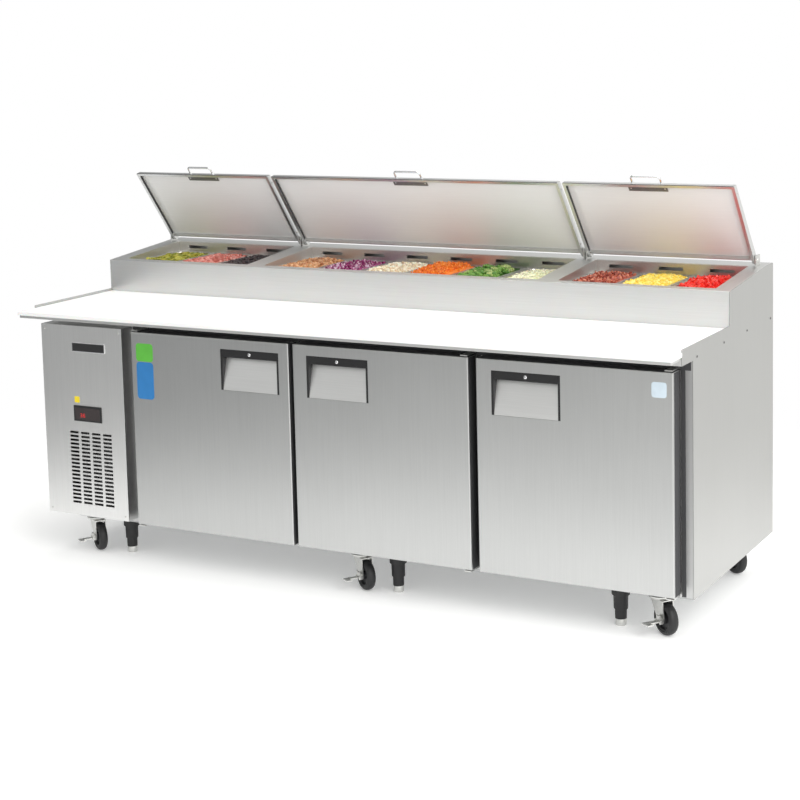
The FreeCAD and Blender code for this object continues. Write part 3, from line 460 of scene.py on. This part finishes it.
def dress_cabinet(mats):
    looks = {
        "side_panel_left": ("side_steel", 1.4), "side_panel_right": ("side_steel", 1.4),
        "base_pan": ("galvanised", 0.5), "back_panel": ("galvanised", 0.8),
        "front_frame": ("frame_steel", 0.8), "cabinet_liner": ("liner", 2.5),
        "worktop": ("rail_steel", 1.2), "pan_rail_housing": ("rail_steel", 1.6),
        "air_duct_cover": ("pan_steel", 0.3), "pan_divider_bars": ("frame_steel", 0.8),
        "hinge_brackets": ("zinc", 0.5), "compressor_panel": ("cover_steel", 0.5),
        "controller": ("plastic", 0.8),
        "compressor": ("black_paint", 1.0), "condenser_coil": ("fins", 0.4),
        "condenser_fan": ("plastic", 0.5), "evaporator_unit": ("liner", 1.2),
        "leg_bodies": ("plastic", 0.5), "cutting_board": ("board", 0.0),
    }
    for node, (look, bevel) in looks.items():
        dress(node, mats[look], bevel * MM)
    for number in (1, 2, 3):
        dress("lid_%d_shell" % number, mats["lid_steel"], 1.2 * MM)
        dress("lid_%d_handle" % number, mats["chrome"])
        dress("door_%d_panel" % number, mats["door_steel"])
        dress("door_%d_gasket" % number, mats["gasket"], 1.5 * MM)
        dress("door_%d_liner" % number, mats["liner"], 2.5 * MM)
        dress("leg_%d_foot" % number, mats["zinc"], 0.3 * MM)
    for node, _ in PAN_NODES:
        dress(node, mats["pan_steel"], 0.7 * MM)
    for node in frame["nodes"]:
        if node.startswith("caster") and not node.endswith("_wheel"):
            dress(node, mats["zinc"], 0.4 * MM)


# ---------------------------------------------------------------- door pulls

PULL_WALL = 8 * MM
PULL_LIP = 27 * MM
PULL_BAR = 14 * MM
INSERT_SHEET = 1.6 * MM
INSERT_PLAY = 0.2 * MM


def door_pull(number, mats):
    """Moulded surround with a finger lip, a sloping steel insert and a lock barrel."""
    low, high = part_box("door_%d_handle" % number)
    wall = PULL_WALL
    lip = high.z - PULL_LIP
    body = "door_%d" % number
    bm = bmesh.new()
    cheek = [(low.y, low.z), (low.y + 2 * MM, low.z), (high.y, lip), (high.y, high.z),
             (low.y, high.z)]
    prism(bm, cheek, low.x, low.x + wall)
    prism(bm, cheek, high.x - wall, high.x)
    shoulder = high.z - 7 * MM
    bar = [(low.y, lip), (low.y + PULL_BAR, lip), (low.y + PULL_BAR, shoulder),
           (high.y, shoulder), (high.y, high.z), (low.y, high.z)]
    prism(bm, bar, low.x + wall, high.x - wall)
    surround = from_bmesh("pull_%d_surround" % number, bm, [mats["plastic"]], body,
                          slot="black_plastic", bevel=1.1 * MM, segments=3)
    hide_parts("door_%d_handle" % number)

    bm = bmesh.new()
    steps = 16
    front, back = low.y + 0.6 * MM, high.y - 3 * MM
    curve = []
    for i in range(steps + 1):
        share = i / steps
        curve.append((front + (back - front) * share ** 1.25,
                      low.z + 0.5 * MM + (high.z - 8 * MM - low.z) * share))
    outline = curve + [(y + INSERT_SHEET, z) for y, z in reversed(curve)]
    prism(bm, outline, low.x + wall + INSERT_PLAY, high.x - wall - INSERT_PLAY)
    from_bmesh("pull_%d_insert" % number, bm, [mats["pull_steel"]], body,
               slot="stainless_door", sharp=50)

    bm = bmesh.new()
    middle = Vector(((low.x + high.x) / 2, low.y, (lip + high.z) / 2))
    turn = Matrix.Translation(middle) @ FACING["front"]
    lathe(bm, [(0, 0.2 * MM), (1.4 * MM, 0.2 * MM), (1.8 * MM, 1.2 * MM), (4.2 * MM, 1.2 * MM),
               (5.2 * MM, 0.7 * MM), (5.6 * MM, 0)], 28, turn)
    from_bmesh("pull_%d_lock" % number, bm, [mats["chrome"]], body, slot="chrome")


# ---------------------------------------------------------------- machine cover

SEGMENTS = {"3": "abgcd", "6": "afgedc"}
WINDOW_RIM = 7 * MM
DIGIT_WIDE, DIGIT_TALL, DIGIT_BAR, DIGIT_DEEP = 7.5 * MM, 13 * MM, 1.5 * MM, 0.3 * MM
DIGIT_PLACE = Vector((30 * MM, -0.8 * MM, 15 * MM))
DIGIT_PITCH = 12 * MM
BADGE_LEFT, BADGE_DOWN = 214 * MM, 91 * MM
BADGE_SIZE = Vector((142 * MM, 3 * MM, 33 * MM))


def seven_segment(bm, symbol, corner):
    """Raised bars of one digit, standing off the window."""
    x, y, z = corner
    wide, tall, thick = DIGIT_WIDE, DIGIT_TALL, DIGIT_BAR
    half = tall / 2
    bars = {
        "a": (x, z + tall - thick, wide, thick), "g": (x, z + half - thick / 2, wide, thick),
        "d": (x, z, wide, thick), "f": (x, z + half, thick, half), "e": (x, z, thick, half),
        "b": (x + wide - thick, z + half, thick, half), "c": (x + wide - thick, z, thick, half),
    }
    for name in SEGMENTS[symbol]:
        left, low, across, up = bars[name]
        slab(bm, (left, y - DIGIT_DEEP, low), (left + across, y, low + up))


def machine_cover(mats):
    low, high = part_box("compressor_panel")
    bezel_low, bezel_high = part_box("controller")
    face = low.y
    bm = bmesh.new()
    slab(bm, (bezel_low.x + WINDOW_RIM, bezel_low.y - 0.8 * MM, bezel_low.z + WINDOW_RIM),
         (bezel_high.x - WINDOW_RIM, bezel_low.y + 0.5 * MM, bezel_high.z - WINDOW_RIM))
    from_bmesh("display_window", bm, [mats["window"]], "cabinet", slot="display",
               bevel=0.6 * MM, segments=3)
    bm = bmesh.new()
    for i, symbol in enumerate("36"):
        seven_segment(bm, symbol, bezel_low + DIGIT_PLACE + Vector((DIGIT_PITCH * i, 0, 0)))
    from_bmesh("display_digits", bm, [glowing("digit_red", (0.60, 0.02, 0.02), 0.5)], "cabinet")
    bm = bmesh.new()
    plate_low = Vector((high.x - BADGE_LEFT, face - BADGE_SIZE.y, high.z - BADGE_DOWN))
    plate_high = plate_low + BADGE_SIZE
    slab(bm, plate_low, plate_high)
    from_bmesh("blank_badge", bm, [mats["chrome"]], "cabinet", slot="chrome",
               bevel=1.2 * MM, segments=3)
    bm = bmesh.new()
    rim = 3 * MM
    slab(bm, (plate_low.x + rim, plate_low.y - 0.5 * MM, plate_low.z + rim),
         (plate_high.x - rim, plate_low.y + 0.5 * MM, plate_high.z - rim))
    from_bmesh("blank_badge_field", bm, [mats["black_paint"]], "cabinet", bevel=0.4 * MM)
    bm = bmesh.new()
    for x in (low.x + 14 * MM, high.x - 14 * MM):
        for z in (low.z + 16 * MM, high.z - 16 * MM):
            screw(bm, (x, face, z), "front", 3.5 * MM)
    from_bmesh("cover_screws", bm, [mats["zinc"]], "cabinet", slot="zinc")


SLOT_COLUMNS, SLOT_ROWS = 4, 19
SLOT_PLACE = (107.5 * MM, 43 * MM)
SLOT_PITCH = (48 * MM, 13.9 * MM)
SLOT_WIDE, SLOT_TALL = 37 * MM, 8 * MM


def louvre_hoods(mats):
    """Pressed lip above each slot of the cover, sloping into the opening."""
    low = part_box("compressor_panel")[0]
    bm = bmesh.new()
    wide, tall = SLOT_WIDE, SLOT_TALL
    for row in range(SLOT_ROWS):
        z = low.z + SLOT_PLACE[1] + SLOT_PITCH[1] * row
        for column in range(SLOT_COLUMNS):
            x = low.x + SLOT_PLACE[0] + SLOT_PITCH[0] * column
            outline = [(low.y + 0.4 * MM, z + tall), (low.y + 3.0 * MM, z + tall),
                       (low.y + 7.0 * MM, z + 4.6 * MM), (low.y + 6.2 * MM, z + 4.0 * MM)]
            prism(bm, outline, x + 0.3 * MM, x + wide - 0.3 * MM)
    from_bmesh("louvre_hoods", bm, [mats["frame_steel"]], "cabinet", slot="stainless_shell")


# ---------------------------------------------------------------- lids

LID_STOP = math.radians(56)
RAIL_SLOPE = math.atan2(32, 390)
# The lid lies in its own frame here: Y from the hinge line, forwards negative, Z up when closed.
LID_REACH, LID_WALL, LID_TAIL = 345 * MM, 10 * MM, 19 * MM
LID_CEILING = -1 * MM
LINING_SHEET = 0.8 * MM
LINING_BORDER, LINING_SLOPE, LINING_DROP = 9 * MM, 7 * MM, 3 * MM
PLATE_HALF, PLATE_UNDER = 66 * MM, -10 * MM


def lid_details(number, mats):
    """Inner lining with a pressed border, dark sheets of painted shade along the nose and on the
    inner side walls, and screws in the sides and handle plate.
    """
    low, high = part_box("lid_%d_shell" % number)
    hinge = Vector(JOINTS["lid_%d_hinge" % number]["pos_m"])
    where = Matrix.Translation((low.x, hinge.y, hinge.z)) \
        @ Matrix.Rotation(RAIL_SLOPE - LID_STOP, 4, "X")
    body = "lid_%d" % number
    width = high.x - low.x
    reach, wall, tail = LID_REACH, LID_WALL, LID_TAIL
    x0, x1 = wall + 0.5 * MM, width - wall - 0.5 * MM
    y0, y1 = -reach + wall + 3.2 * MM, -tail - 0.5 * MM
    bm = bmesh.new()
    nx, ny = 60, 24
    grid = []
    for j in range(ny + 1):
        row = []
        for i in range(nx + 1):
            u, v = i / nx, j / ny
            x, y = x0 + (x1 - x0) * u, y0 + (y1 - y0) * v
            edge = min(x - x0, x1 - x, y - y0, y1 - y)
            step = max(0.0, min(1.0, (edge - LINING_BORDER) / LINING_SLOPE))
            step = step * step * (3 - 2 * step)
            z = LID_CEILING - 1.0 * MM - LINING_DROP * step
            row.append(bm.verts.new(where @ Vector((x, y, z))))
        grid.append(row)
    for j in range(ny):
        for i in range(nx):
            bm.faces.new([grid[j][i], grid[j][i + 1], grid[j + 1][i + 1], grid[j + 1][i]])
    top = bmesh.ops.extrude_face_region(bm, geom=list(bm.faces))
    lift = where.to_3x3() @ Vector((0, 0, LINING_SHEET))
    bmesh.ops.translate(bm, vec=lift, verts=[v for v in top["geom"]
                                             if isinstance(v, bmesh.types.BMVert)])
    from_bmesh("lid_%d_lining" % number, bm, [mats["lining"]], body, slot="stainless_shell",
               sharp=60)
    # Painted shade: a dark sheet under the nose and dark sheets on the inner faces of the side
    # walls, where shade falls.
    bm = bmesh.new()
    slab(bm, (2 * MM, -reach - 0.6 * MM, -16.6 * MM), (width - 2 * MM, -reach, -14.2 * MM), where)
    for near, far in ((wall, wall + 0.4 * MM), (width - wall - 0.4 * MM, width - wall)):
        slab(bm, (near, -reach + 16 * MM, -16 * MM), (far, -tail - 6 * MM, -6 * MM), where)
    from_bmesh("lid_%d_trim" % number, bm, [mats["gasket"]], body)
    bm = bmesh.new()
    slab(bm, (width / 2 - PLATE_HALF, -reach + 10.5 * MM, PLATE_UNDER - 0.4 * MM),
         (width / 2 + PLATE_HALF, -reach + 33.5 * MM, PLATE_UNDER - 0.05 * MM), where)
    from_bmesh("lid_%d_grip_face" % number, bm, [mats["dark_zinc"]], body)
    bm = bmesh.new()
    for y in (-reach + 38 * MM, -52 * MM):
        screw(bm, (0, y, -6 * MM), "left", 3.6 * MM, where)
        screw(bm, (width, y, -6 * MM), "right", 3.6 * MM, where)
    for side in (-1, 1):
        spot = (width / 2 + side * (PLATE_HALF - 9 * MM), -reach + 22 * MM, PLATE_UNDER)
        turn = where @ Matrix.Translation(spot) @ Matrix.Rotation(math.pi, 4, "X")
        lathe(bm, [(0, 1.3 * MM), (2.4 * MM, 1.0 * MM), (3.4 * MM, 0), (3.4 * MM, -0.6 * MM)], 18,
              turn)
    from_bmesh("lid_%d_screws" % number, bm, [mats["zinc"]], body, slot="zinc")


# ---------------------------------------------------------------- casters

TYRE_HALF = 15.5 * MM
TYRE_DEEP = 15 * MM
NUT_AT = 20 * MM


def caster_details(name, mats):
    """Tyre and hub in place of the plain wheel, a bearing race and the axle nuts."""
    swivel = JOINTS[name + "_swivel"]
    roll = JOINTS[name + "_roll"]
    axle = Vector(roll["axis"]).normalized()
    hub_at = Vector(roll["pos_m"])
    radius = hub_at.z
    half, rim = TYRE_HALF, radius - TYRE_DEEP
    turn = Matrix.Translation(hub_at) @ Vector((0, 0, 1)).rotation_difference(axle) \
        .to_matrix().to_4x4()
    bm = bmesh.new()
    crown = [(radius * math.cos(a) ** 0.16, half * math.sin(a))
             for a in (math.radians(d) for d in range(-78, 79, 12))]
    lathe(bm, [(rim, -half + 2 * MM), (rim + 2 * MM, -half)] + crown
          + [(rim + 2 * MM, half), (rim, half - 2 * MM), (rim, -half + 2 * MM)], 72, turn)
    tyre = from_bmesh(name + "_tyre", bm, [mats["tread"]], name + "_wheel", slot="wheel", sharp=55)
    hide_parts(name + "_wheel")
    bm = bmesh.new()
    lathe(bm, [(5.1 * MM, -half), (13 * MM, -half), (14.5 * MM, -half + 1.5 * MM),
               (15 * MM, -5 * MM), (rim - 5 * MM, -4 * MM), (rim - 3 * MM, -half + 3 * MM),
               (rim, -half + 2.2 * MM), (rim, half - 2.2 * MM), (rim - 3 * MM, half - 3 * MM),
               (rim - 5 * MM, 4 * MM), (15 * MM, 5 * MM), (14.5 * MM, half - 1.5 * MM),
               (13 * MM, half), (5.1 * MM, half), (5.1 * MM, -half)], 64, turn)
    from_bmesh(name + "_hub", bm, [mats["hub"]], name + "_wheel", slot="wheel")
    bm = bmesh.new()
    for side in (-1, 1):
        flip = Matrix() if side > 0 else Matrix.Rotation(math.pi, 4, "X")
        washer, nut, tip = NUT_AT + 1.4 * MM, NUT_AT + 3.4 * MM, NUT_AT + 4.2 * MM
        lathe(bm, [(9 * MM, NUT_AT), (9 * MM, NUT_AT + 1 * MM), (8.4 * MM, washer),
                   (5.6 * MM, washer), (5.6 * MM, nut), (4.6 * MM, tip), (0, tip)],
              6 if side > 0 else 24, turn @ flip)
    from_bmesh(name + "_axle_nuts", bm, [mats["zinc"]], name + "_fork", slot="zinc")
    bm = bmesh.new()
    pivot = Vector(swivel["pos_m"])
    ring = Matrix.Translation((pivot.x, pivot.y, 0))
    lathe(bm, [(30.3 * MM, 109.5 * MM), (33.5 * MM, 110.5 * MM), (35.5 * MM, 113 * MM),
               (35.5 * MM, 116 * MM), (33 * MM, 118.6 * MM), (30.3 * MM, 119 * MM),
               (30.3 * MM, 109.5 * MM)], 48, ring)
    from_bmesh(name + "_race", bm, [mats["zinc"]], name + "_fork", slot="zinc")


# ---------------------------------------------------------------- shelves, screws, painted gap shade and labels

SHELF_FRAME, SHELF_WIRE, SHELF_CROSS = 3.2 * MM, 1.5 * MM, 2.4 * MM
SHELF_WIRES = 24


def shelves(mats):
    """Welded wire shelves: a frame, long wires and two cross wires each."""
    low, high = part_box("wire_shelves")
    first = True
    for number in (1, 2, 3):
        left, right = (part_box("door_%d_panel" % number)[i].x for i in (0, 1))
        bm = bmesh.new()
        x0, x1 = left + 12 * MM, right - 12 * MM
        y0, y1 = low.y + 8 * MM, high.y - 8 * MM
        z = high.z - 4 * MM
        frame_line = [(x0, y0, z), (x1, y0, z), (x1, y1, z), (x0, y1, z)]
        tube(bm, frame_line, SHELF_FRAME, closed=True)
        for i in range(1, SHELF_WIRES):
            x = x0 + (x1 - x0) * i / SHELF_WIRES
            tube(bm, [(x, y0, z + SHELF_WIRE), (x, y1, z + SHELF_WIRE)], SHELF_WIRE, 8)
        for share in (0.33, 0.67):
            y = y0 + (y1 - y0) * share
            tube(bm, [(x0, y, z - SHELF_WIRE), (x1, y, z - SHELF_WIRE)], SHELF_CROSS, 8)
        shelf = from_bmesh("wire_shelf_%d" % number, bm, [mats["zinc"]], "cabinet", slot="zinc")
        if first:
            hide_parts("wire_shelves")
            first = False


SIDE_SCREW_HEIGHT = 851 * MM
SIDE_SCREW_PLACES = (-268 * MM, -21 * MM, 206 * MM, 456 * MM)


def side_screws(mats):
    for side, node in (("right", "side_panel_right"), ("left", "side_panel_left")):
        low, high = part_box(node)
        x = high.x if side == "right" else low.x
        bm = bmesh.new()
        for y in SIDE_SCREW_PLACES:
            screw(bm, (x, y, SIDE_SCREW_HEIGHT), side, 4 * MM)
        from_bmesh("side_screws_" + side, bm, [mats["dark_zinc"]], "cabinet", slot="zinc")


# Thickness and inset of the dark sheets of painted shade in the gaps.
TRIM_SHEET = 0.5 * MM
TRIM_INSET = 2 * MM


def door_edges(number, mats):
    """Painted shade: dark sheets round a door's edges, just behind the bright fold of its skin,
    standing in for the shade in the gaps.
    """
    low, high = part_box("door_%d_panel" % number)
    front, back = low.y + 4 * MM, high.y - 1 * MM
    foot, head = low.z + TRIM_INSET, high.z - TRIM_INSET
    bm = bmesh.new()
    slab(bm, (low.x - TRIM_SHEET, front, foot), (low.x, back, head))
    slab(bm, (high.x, front + 5 * MM, foot), (high.x + TRIM_SHEET, back, head))
    slab(bm, (low.x + TRIM_INSET, front, high.z),
         (high.x - TRIM_INSET, back, high.z + TRIM_SHEET))
    from_bmesh("door_%d_edges" % number, bm, [mats["gasket"]], "door_%d" % number)


def breaker_strips(mats):
    """Painted shade: dark strips on the face frame, seen through the gaps round the doors, standing
    in for the shade there.
    """
    low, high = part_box("front_frame")
    doors = [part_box("door_%d_panel" % number) for number in (1, 2, 3)]
    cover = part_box("compressor_panel")[1].x
    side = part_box("side_panel_right")[1].x
    edges = [cover] + [corner.x for door in doors for corner in door] + [side]
    bm = bmesh.new()
    for left, right in zip(edges[::2], edges[1::2]):
        start = left + (0.45 * (right - left) if left == cover else 0.6 * MM)
        slab(bm, (start, low.y - 0.6 * MM, low.z + TRIM_INSET),
             (min(right + 3 * MM, left + 14 * MM), low.y - 0.1 * MM, high.z - TRIM_INSET))
    # Painted shadow in the gap between the door tops and the worktop.
    slab(bm, (cover + 2 * MM, low.y - 1.2 * MM, doors[0][1].z - 3 * MM),
         (high.x - 3 * MM, low.y - 0.7 * MM, high.z - 1 * MM))
    from_bmesh("breaker_strips", bm, [mats["gasket"]], "cabinet")


LABEL_SHEET = 0.3 * MM
LABEL_ROUND = 0.18
LABEL_WIDE = 70 * MM
LABEL_PLACE = (21 * MM, 229 * MM)


def sticker(name, corner, size, colour, body):
    """Blank label with rounded corners on a front face; corner is its lower left."""
    bm = bmesh.new()
    x, y, z = corner
    wide, tall = size
    radius = min(wide, tall) * LABEL_ROUND
    near, far = [], []
    for cx, cz, start in ((x + wide - radius, z + tall - radius, 0),
                          (x + radius, z + tall - radius, 90), (x + radius, z + radius, 180),
                          (x + wide - radius, z + radius, 270)):
        for k in range(6):
            a = math.radians(start + 18 * k)
            spot = (cx + radius * math.cos(a), cz + radius * math.sin(a))
            near.append(bm.verts.new((spot[0], y - LABEL_SHEET, spot[1])))
            far.append(bm.verts.new((spot[0], y, spot[1])))
    bm.faces.new(near)
    bm.faces.new(list(reversed(far)))
    for k in range(len(near)):
        after = (k + 1) % len(near)
        bm.faces.new([near[k], near[after], far[after], far[k]])
    from_bmesh(name, bm, [surface(name, colour, 0.35, scale=40, contrast=0.08)], body)


def blank_labels():
    low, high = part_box("door_1_panel")
    x, z = low.x + LABEL_PLACE[0], high.z - LABEL_PLACE[1]
    sticker("blank_label_blue", (x, low.y, z), (LABEL_WIDE, 128 * MM), (0.03, 0.20, 0.50),
            "door_1")
    sticker("blank_label_green", (x, low.y, z + 130 * MM), (LABEL_WIDE, 62 * MM),
            (0.12, 0.50, 0.06), "door_1")
    low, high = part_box("door_3_panel")
    sticker("blank_label_pale", (high.x - 66 * MM, low.y, high.z - 76 * MM), (46 * MM, 46 * MM),
            (0.62, 0.72, 0.80), "door_3")
    low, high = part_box("compressor_panel")
    sticker("blank_label_yellow", (high.x - 214 * MM, low.y, high.z - 272 * MM), (22 * MM, 22 * MM),
            (0.85, 0.66, 0.03), "cabinet")


# ---------------------------------------------------------------- food

def shape_of(build):
    """Points and faces of a small bmesh, for repeating many times."""
    bm = bmesh.new()
    build(bm)
    bm.verts.index_update()
    points = [v.co.copy() for v in bm.verts]
    faces = [[v.index for v in f.verts] for f in bm.faces]
    bm.free()
    return points, faces


def wobble(points, amount, seed):
    """Uneven a shape with smooth noise."""
    shift = Vector((seed * 3.1, seed * 1.7, seed * 2.3))
    return [p * (1 + amount * noise.noise(p * 2.2 + shift)) for p in points]


def dice(seed):
    def build(bm):
        bmesh.ops.create_cube(bm, size=1.6)
        bmesh.ops.bevel(bm, geom=list(bm.edges), offset=0.22, segments=2, affect="EDGES")
    points, faces = shape_of(build)
    return wobble(points, 0.22, seed), faces


def crumb(seed):
    points, faces = shape_of(lambda bm: bmesh.ops.create_icosphere(bm, subdivisions=2, radius=1))
    return wobble(points, 0.75, seed), faces


def disc(seed):
    """Crinkle-cut slice."""
    def build(bm):
        lathe(bm, [(0, 0.13), (0.8, 0.15), (1.0, 0.06), (1.0, -0.06), (0.8, -0.15), (0, -0.13)], 20)
    points, faces = shape_of(build)
    return [Vector((p.x, p.y, p.z + 0.07 * math.sin(p.x * 11 + seed))) for p in points], faces


def ring(seed):
    """Sliced olive."""
    def build(bm):
        turns = [2 * math.pi * k / 8 for k in range(9)]
        lathe(bm, [(0.66 + 0.34 * math.cos(a), 0.40 * math.sin(a)) for a in turns], 16)
    points, faces = shape_of(build)
    return wobble(points, 0.18, seed), faces


def strip(wide, thick, curl):
    """Bent strip; curl is how far it turns, in radians."""
    def make(seed):
        bend = curl * (0.7 + 0.3 * math.sin(seed * 2.1))
        steps = 7
        points, faces = [], []
        for i in range(steps + 1):
            a = bend * (i / steps - 0.5)
            r = 2.0 / max(bend, 0.05)
            centre = Vector((r * math.sin(a), 0, r * (math.cos(a) - 1)))
            taper = 1 - 0.35 * abs(2 * i / steps - 1) ** 3
            for dy, dz in ((-1, -1), (1, -1), (1, 1), (-1, 1)):
                points.append(centre + Vector((0, dy * wide * taper, dz * thick)))
            if i:
                b = 4 * i
                faces += [[b - 4 + k, b - 4 + (k + 1) % 4, b + (k + 1) % 4, b + k]
                          for k in range(4)]
        faces += [[3, 2, 1, 0], [4 * steps + k for k in range(4)]]
        return points, faces
    return make


def floret(seed):
    """Broccoli head: a stalk under a tight cluster of buds."""
    rng = random.Random(seed)

    def build(bm):
        lathe(bm, [(0, -1.0), (0.30, -0.95), (0.24, -0.3), (0.42, 0.15), (0, 0.2)], 10)
        for k in range(13):
            a, out = 2.4 * k, 0.20 + 0.052 * k
            spot = Vector((out * math.cos(a), out * math.sin(a), 0.52 - 0.55 * out * out))
            bmesh.ops.create_icosphere(bm, subdivisions=1, radius=rng.uniform(0.26, 0.36),
                                       matrix=Matrix.Translation(spot))
    points, faces = shape_of(build)
    return [p if p.z < 0 else p * (1 + 0.10 * noise.noise(p * 9)) for p in points], faces


PAN_LIFT = 18 * MM
LID_MARGIN = 6.5 * MM
PLATE_BACK = 0.115


def headroom(y):
    """Height that food may reach, so that lifted pans clear a closed lid and its handle plate."""
    hinge = JOINTS["lid_2_hinge"]["pos_m"]
    front = max(0.0, PLATE_BACK - y) * 0.5
    return hinge[2] + (y - hinge[1]) * math.tan(RAIL_SLOPE) - PAN_LIFT - LID_MARGIN - front


def heap(name, pan, body, recipe, mats, seed):
    """Fill a pan: a soft mound and many pieces laid over it, in one mesh."""
    rng = random.Random(seed)
    x0, x1, y0, y1, level = pan
    cx, cy = (x0 + x1) / 2, (y0 + y1) / 2
    hx, hy = (x1 - x0) / 2, (y1 - y0) / 2
    crown = recipe["crown"]

    def height(u, v):
        edge = max(0.0, (1 - u ** 6) * (1 - v ** 6))
        lumps = noise.noise(Vector((u * 1.7, v * 2.6, seed * 0.37)))
        top = level + crown * edge ** 0.6 + 4.5 * MM * lumps * edge
        return min(top, headroom(cy + hy * v) - recipe["size"] * 0.8)

    points, faces, shades = [], [], []
    n, rows = 18, 34
    for j in range(rows + 1):
        for i in range(n + 1):
            u, v = 2 * i / n - 1, 2 * j / rows - 1
            z = height(u, v) - recipe["size"] * 0.35
            points.append(Vector((cx + hx * u, cy + hy * v, z)))
    for j in range(rows):
        for i in range(n):
            a = j * (n + 1) + i
            faces.append([a, a + 1, a + n + 2, a + n + 1])
            shades.append(0)
    shapes = [recipe["shape"](k + seed) for k in range(5)]
    reach = recipe["size"] * recipe.get("span", 1.0)
    for _ in range(recipe["count"]):
        u, v = rng.uniform(-1, 1), rng.uniform(-1, 1)
        size = recipe["size"] * rng.uniform(0.75, 1.2)
        z = height(u, v) + recipe["size"] * rng.uniform(-0.45, 0.25)
        tilt = recipe.get("tilt", math.pi)
        spin = Euler((rng.uniform(-tilt, tilt), rng.uniform(-tilt, tilt),
                      rng.uniform(-math.pi, math.pi))).to_matrix()
        spot = Vector((cx + (hx - reach) * u, cy + (hy - reach) * v, z))
        shape_points, shape_faces = rng.choice(shapes)
        turned = [spin @ (p * size) for p in shape_points]
        spot.z = min(spot.z, headroom(spot.y - size) - max(p.z for p in turned))
        base = len(points)
        points += [spot + p for p in turned]
        faces += [[base + k for k in face] for face in shape_faces]
        shades += [rng.randrange(len(mats))] * len(shape_faces)
    mesh = bpy.data.meshes.new(name)
    mesh.from_pydata(points, [], faces)
    mesh.update()
    for polygon, shade in zip(mesh.polygons, shades):
        polygon.material_index = shade
    finish_mesh(name, mesh, mats, body, sharp=50)


def tones(name, *colours, rough=0.42, scale=180):
    """Two or three shades of one food."""
    return [surface("%s_%d" % (name, i), colour, rough, scale=scale, contrast=0.22, bump=0.35,
                    depth=0.0006, soft=0.12, swing=0.12)
            for i, colour in enumerate(colours)]


def foods():
    """What lies in the pans, from left to right."""
    return [
        ("pickles", dict(shape=disc, size=0.0125, count=230, crown=0.010, tilt=0.5),
         tones("pickle", (0.36, 0.34, 0.03), (0.48, 0.45, 0.07), (0.24, 0.26, 0.02))),
        ("ham", dict(shape=dice, size=0.0060, count=520, crown=0.012),
         tones("ham", (0.62, 0.20, 0.16), (0.72, 0.32, 0.27), (0.50, 0.13, 0.10))),
        ("olives", dict(shape=ring, size=0.0075, count=430, crown=0.014, tilt=0.9),
         tones("olive", (0.022, 0.014, 0.016), (0.05, 0.030, 0.032), rough=0.25)),
        ("sausage", dict(shape=crumb, size=0.0068, count=520, crown=0.012),
         tones("sausage", (0.52, 0.24, 0.10), (0.66, 0.38, 0.20), (0.38, 0.15, 0.06))),
        ("onion", dict(shape=strip(0.34, 0.08, 2.2), size=0.0085, count=430, crown=0.013, span=1.2),
         tones("onion", (0.30, 0.035, 0.16), (0.62, 0.42, 0.52), (0.20, 0.02, 0.10))),
        ("mushroom", dict(shape=dice, size=0.0062, count=500, crown=0.013),
         tones("mushroom", (0.80, 0.70, 0.52), (0.86, 0.80, 0.66), (0.62, 0.48, 0.32))),
        ("carrot", dict(shape=strip(0.20, 0.14, 1.0), size=0.0100, count=820, crown=0.021, span=1.2),
         tones("carrot", (0.86, 0.20, 0.012), (0.92, 0.28, 0.03), (0.74, 0.13, 0.008))),
        ("broccoli", dict(shape=floret, size=0.0165, count=120, crown=0.010, tilt=0.7),
         tones("broccoli", (0.07, 0.19, 0.02), (0.15, 0.30, 0.05), (0.34, 0.42, 0.14))),
        ("cheese", dict(shape=strip(0.16, 0.11, 0.9), size=0.0115, count=900, crown=0.011,
                        tilt=0.6, span=1.2),
         tones("cheese", (0.88, 0.84, 0.55), (0.92, 0.89, 0.66))),
        ("bacon", dict(shape=strip(0.50, 0.16, 1.5), size=0.0090, count=400, crown=0.014, span=1.2),
         tones("bacon", (0.42, 0.09, 0.05), (0.60, 0.22, 0.14), (0.30, 0.05, 0.03))),
        ("pineapple", dict(shape=dice, size=0.0072, count=430, crown=0.014),
         tones("pineapple", (0.90, 0.62, 0.08), (0.94, 0.72, 0.20))),
        ("pepper", dict(shape=strip(0.30, 0.20, 1.4), size=0.0125, count=360, crown=0.016, span=1.2),
         tones("pepper", (0.74, 0.018, 0.012), (0.84, 0.05, 0.03), rough=0.28)),
    ]


PAN_PITCH = 176 * MM
PAN_WALL = 12 * MM
FOOD_LEVEL = 9 * MM


def fill_pans():
    served = iter(foods())
    seed = 11
    for node, body in PAN_NODES:
        low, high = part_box(node)
        pan_width = high.x - low.x - PAN_PITCH * 2
        for i in range(3):
            label, recipe, mats = next(served)
            left = low.x + PAN_PITCH * i
            edge = PAN_WALL + 1.5 * MM
            pan = (left + edge, left + pan_width - edge, low.y + edge, high.y - edge,
                   high.z - FOOD_LEVEL)
            heap("food_" + label, pan, body, recipe, mats, seed)
            seed += 7


# ---------------------------------------------------------------- scene

make_camera()
make_studio()
MATS = make_materials()
make_floor()
dress_cabinet(MATS)
for number in (1, 2, 3):
    door_pull(number, MATS)
    door_edges(number, MATS)
    lid_details(number, MATS)
machine_cover(MATS)
louvre_hoods(MATS)
for name in sorted(body for body in frame["bodies"] if body.endswith("_fork")):
    caster_details(name[:-len("_fork")], MATS)
shelves(MATS)
side_screws(MATS)
breaker_strips(MATS)
blank_labels()
fill_pans()
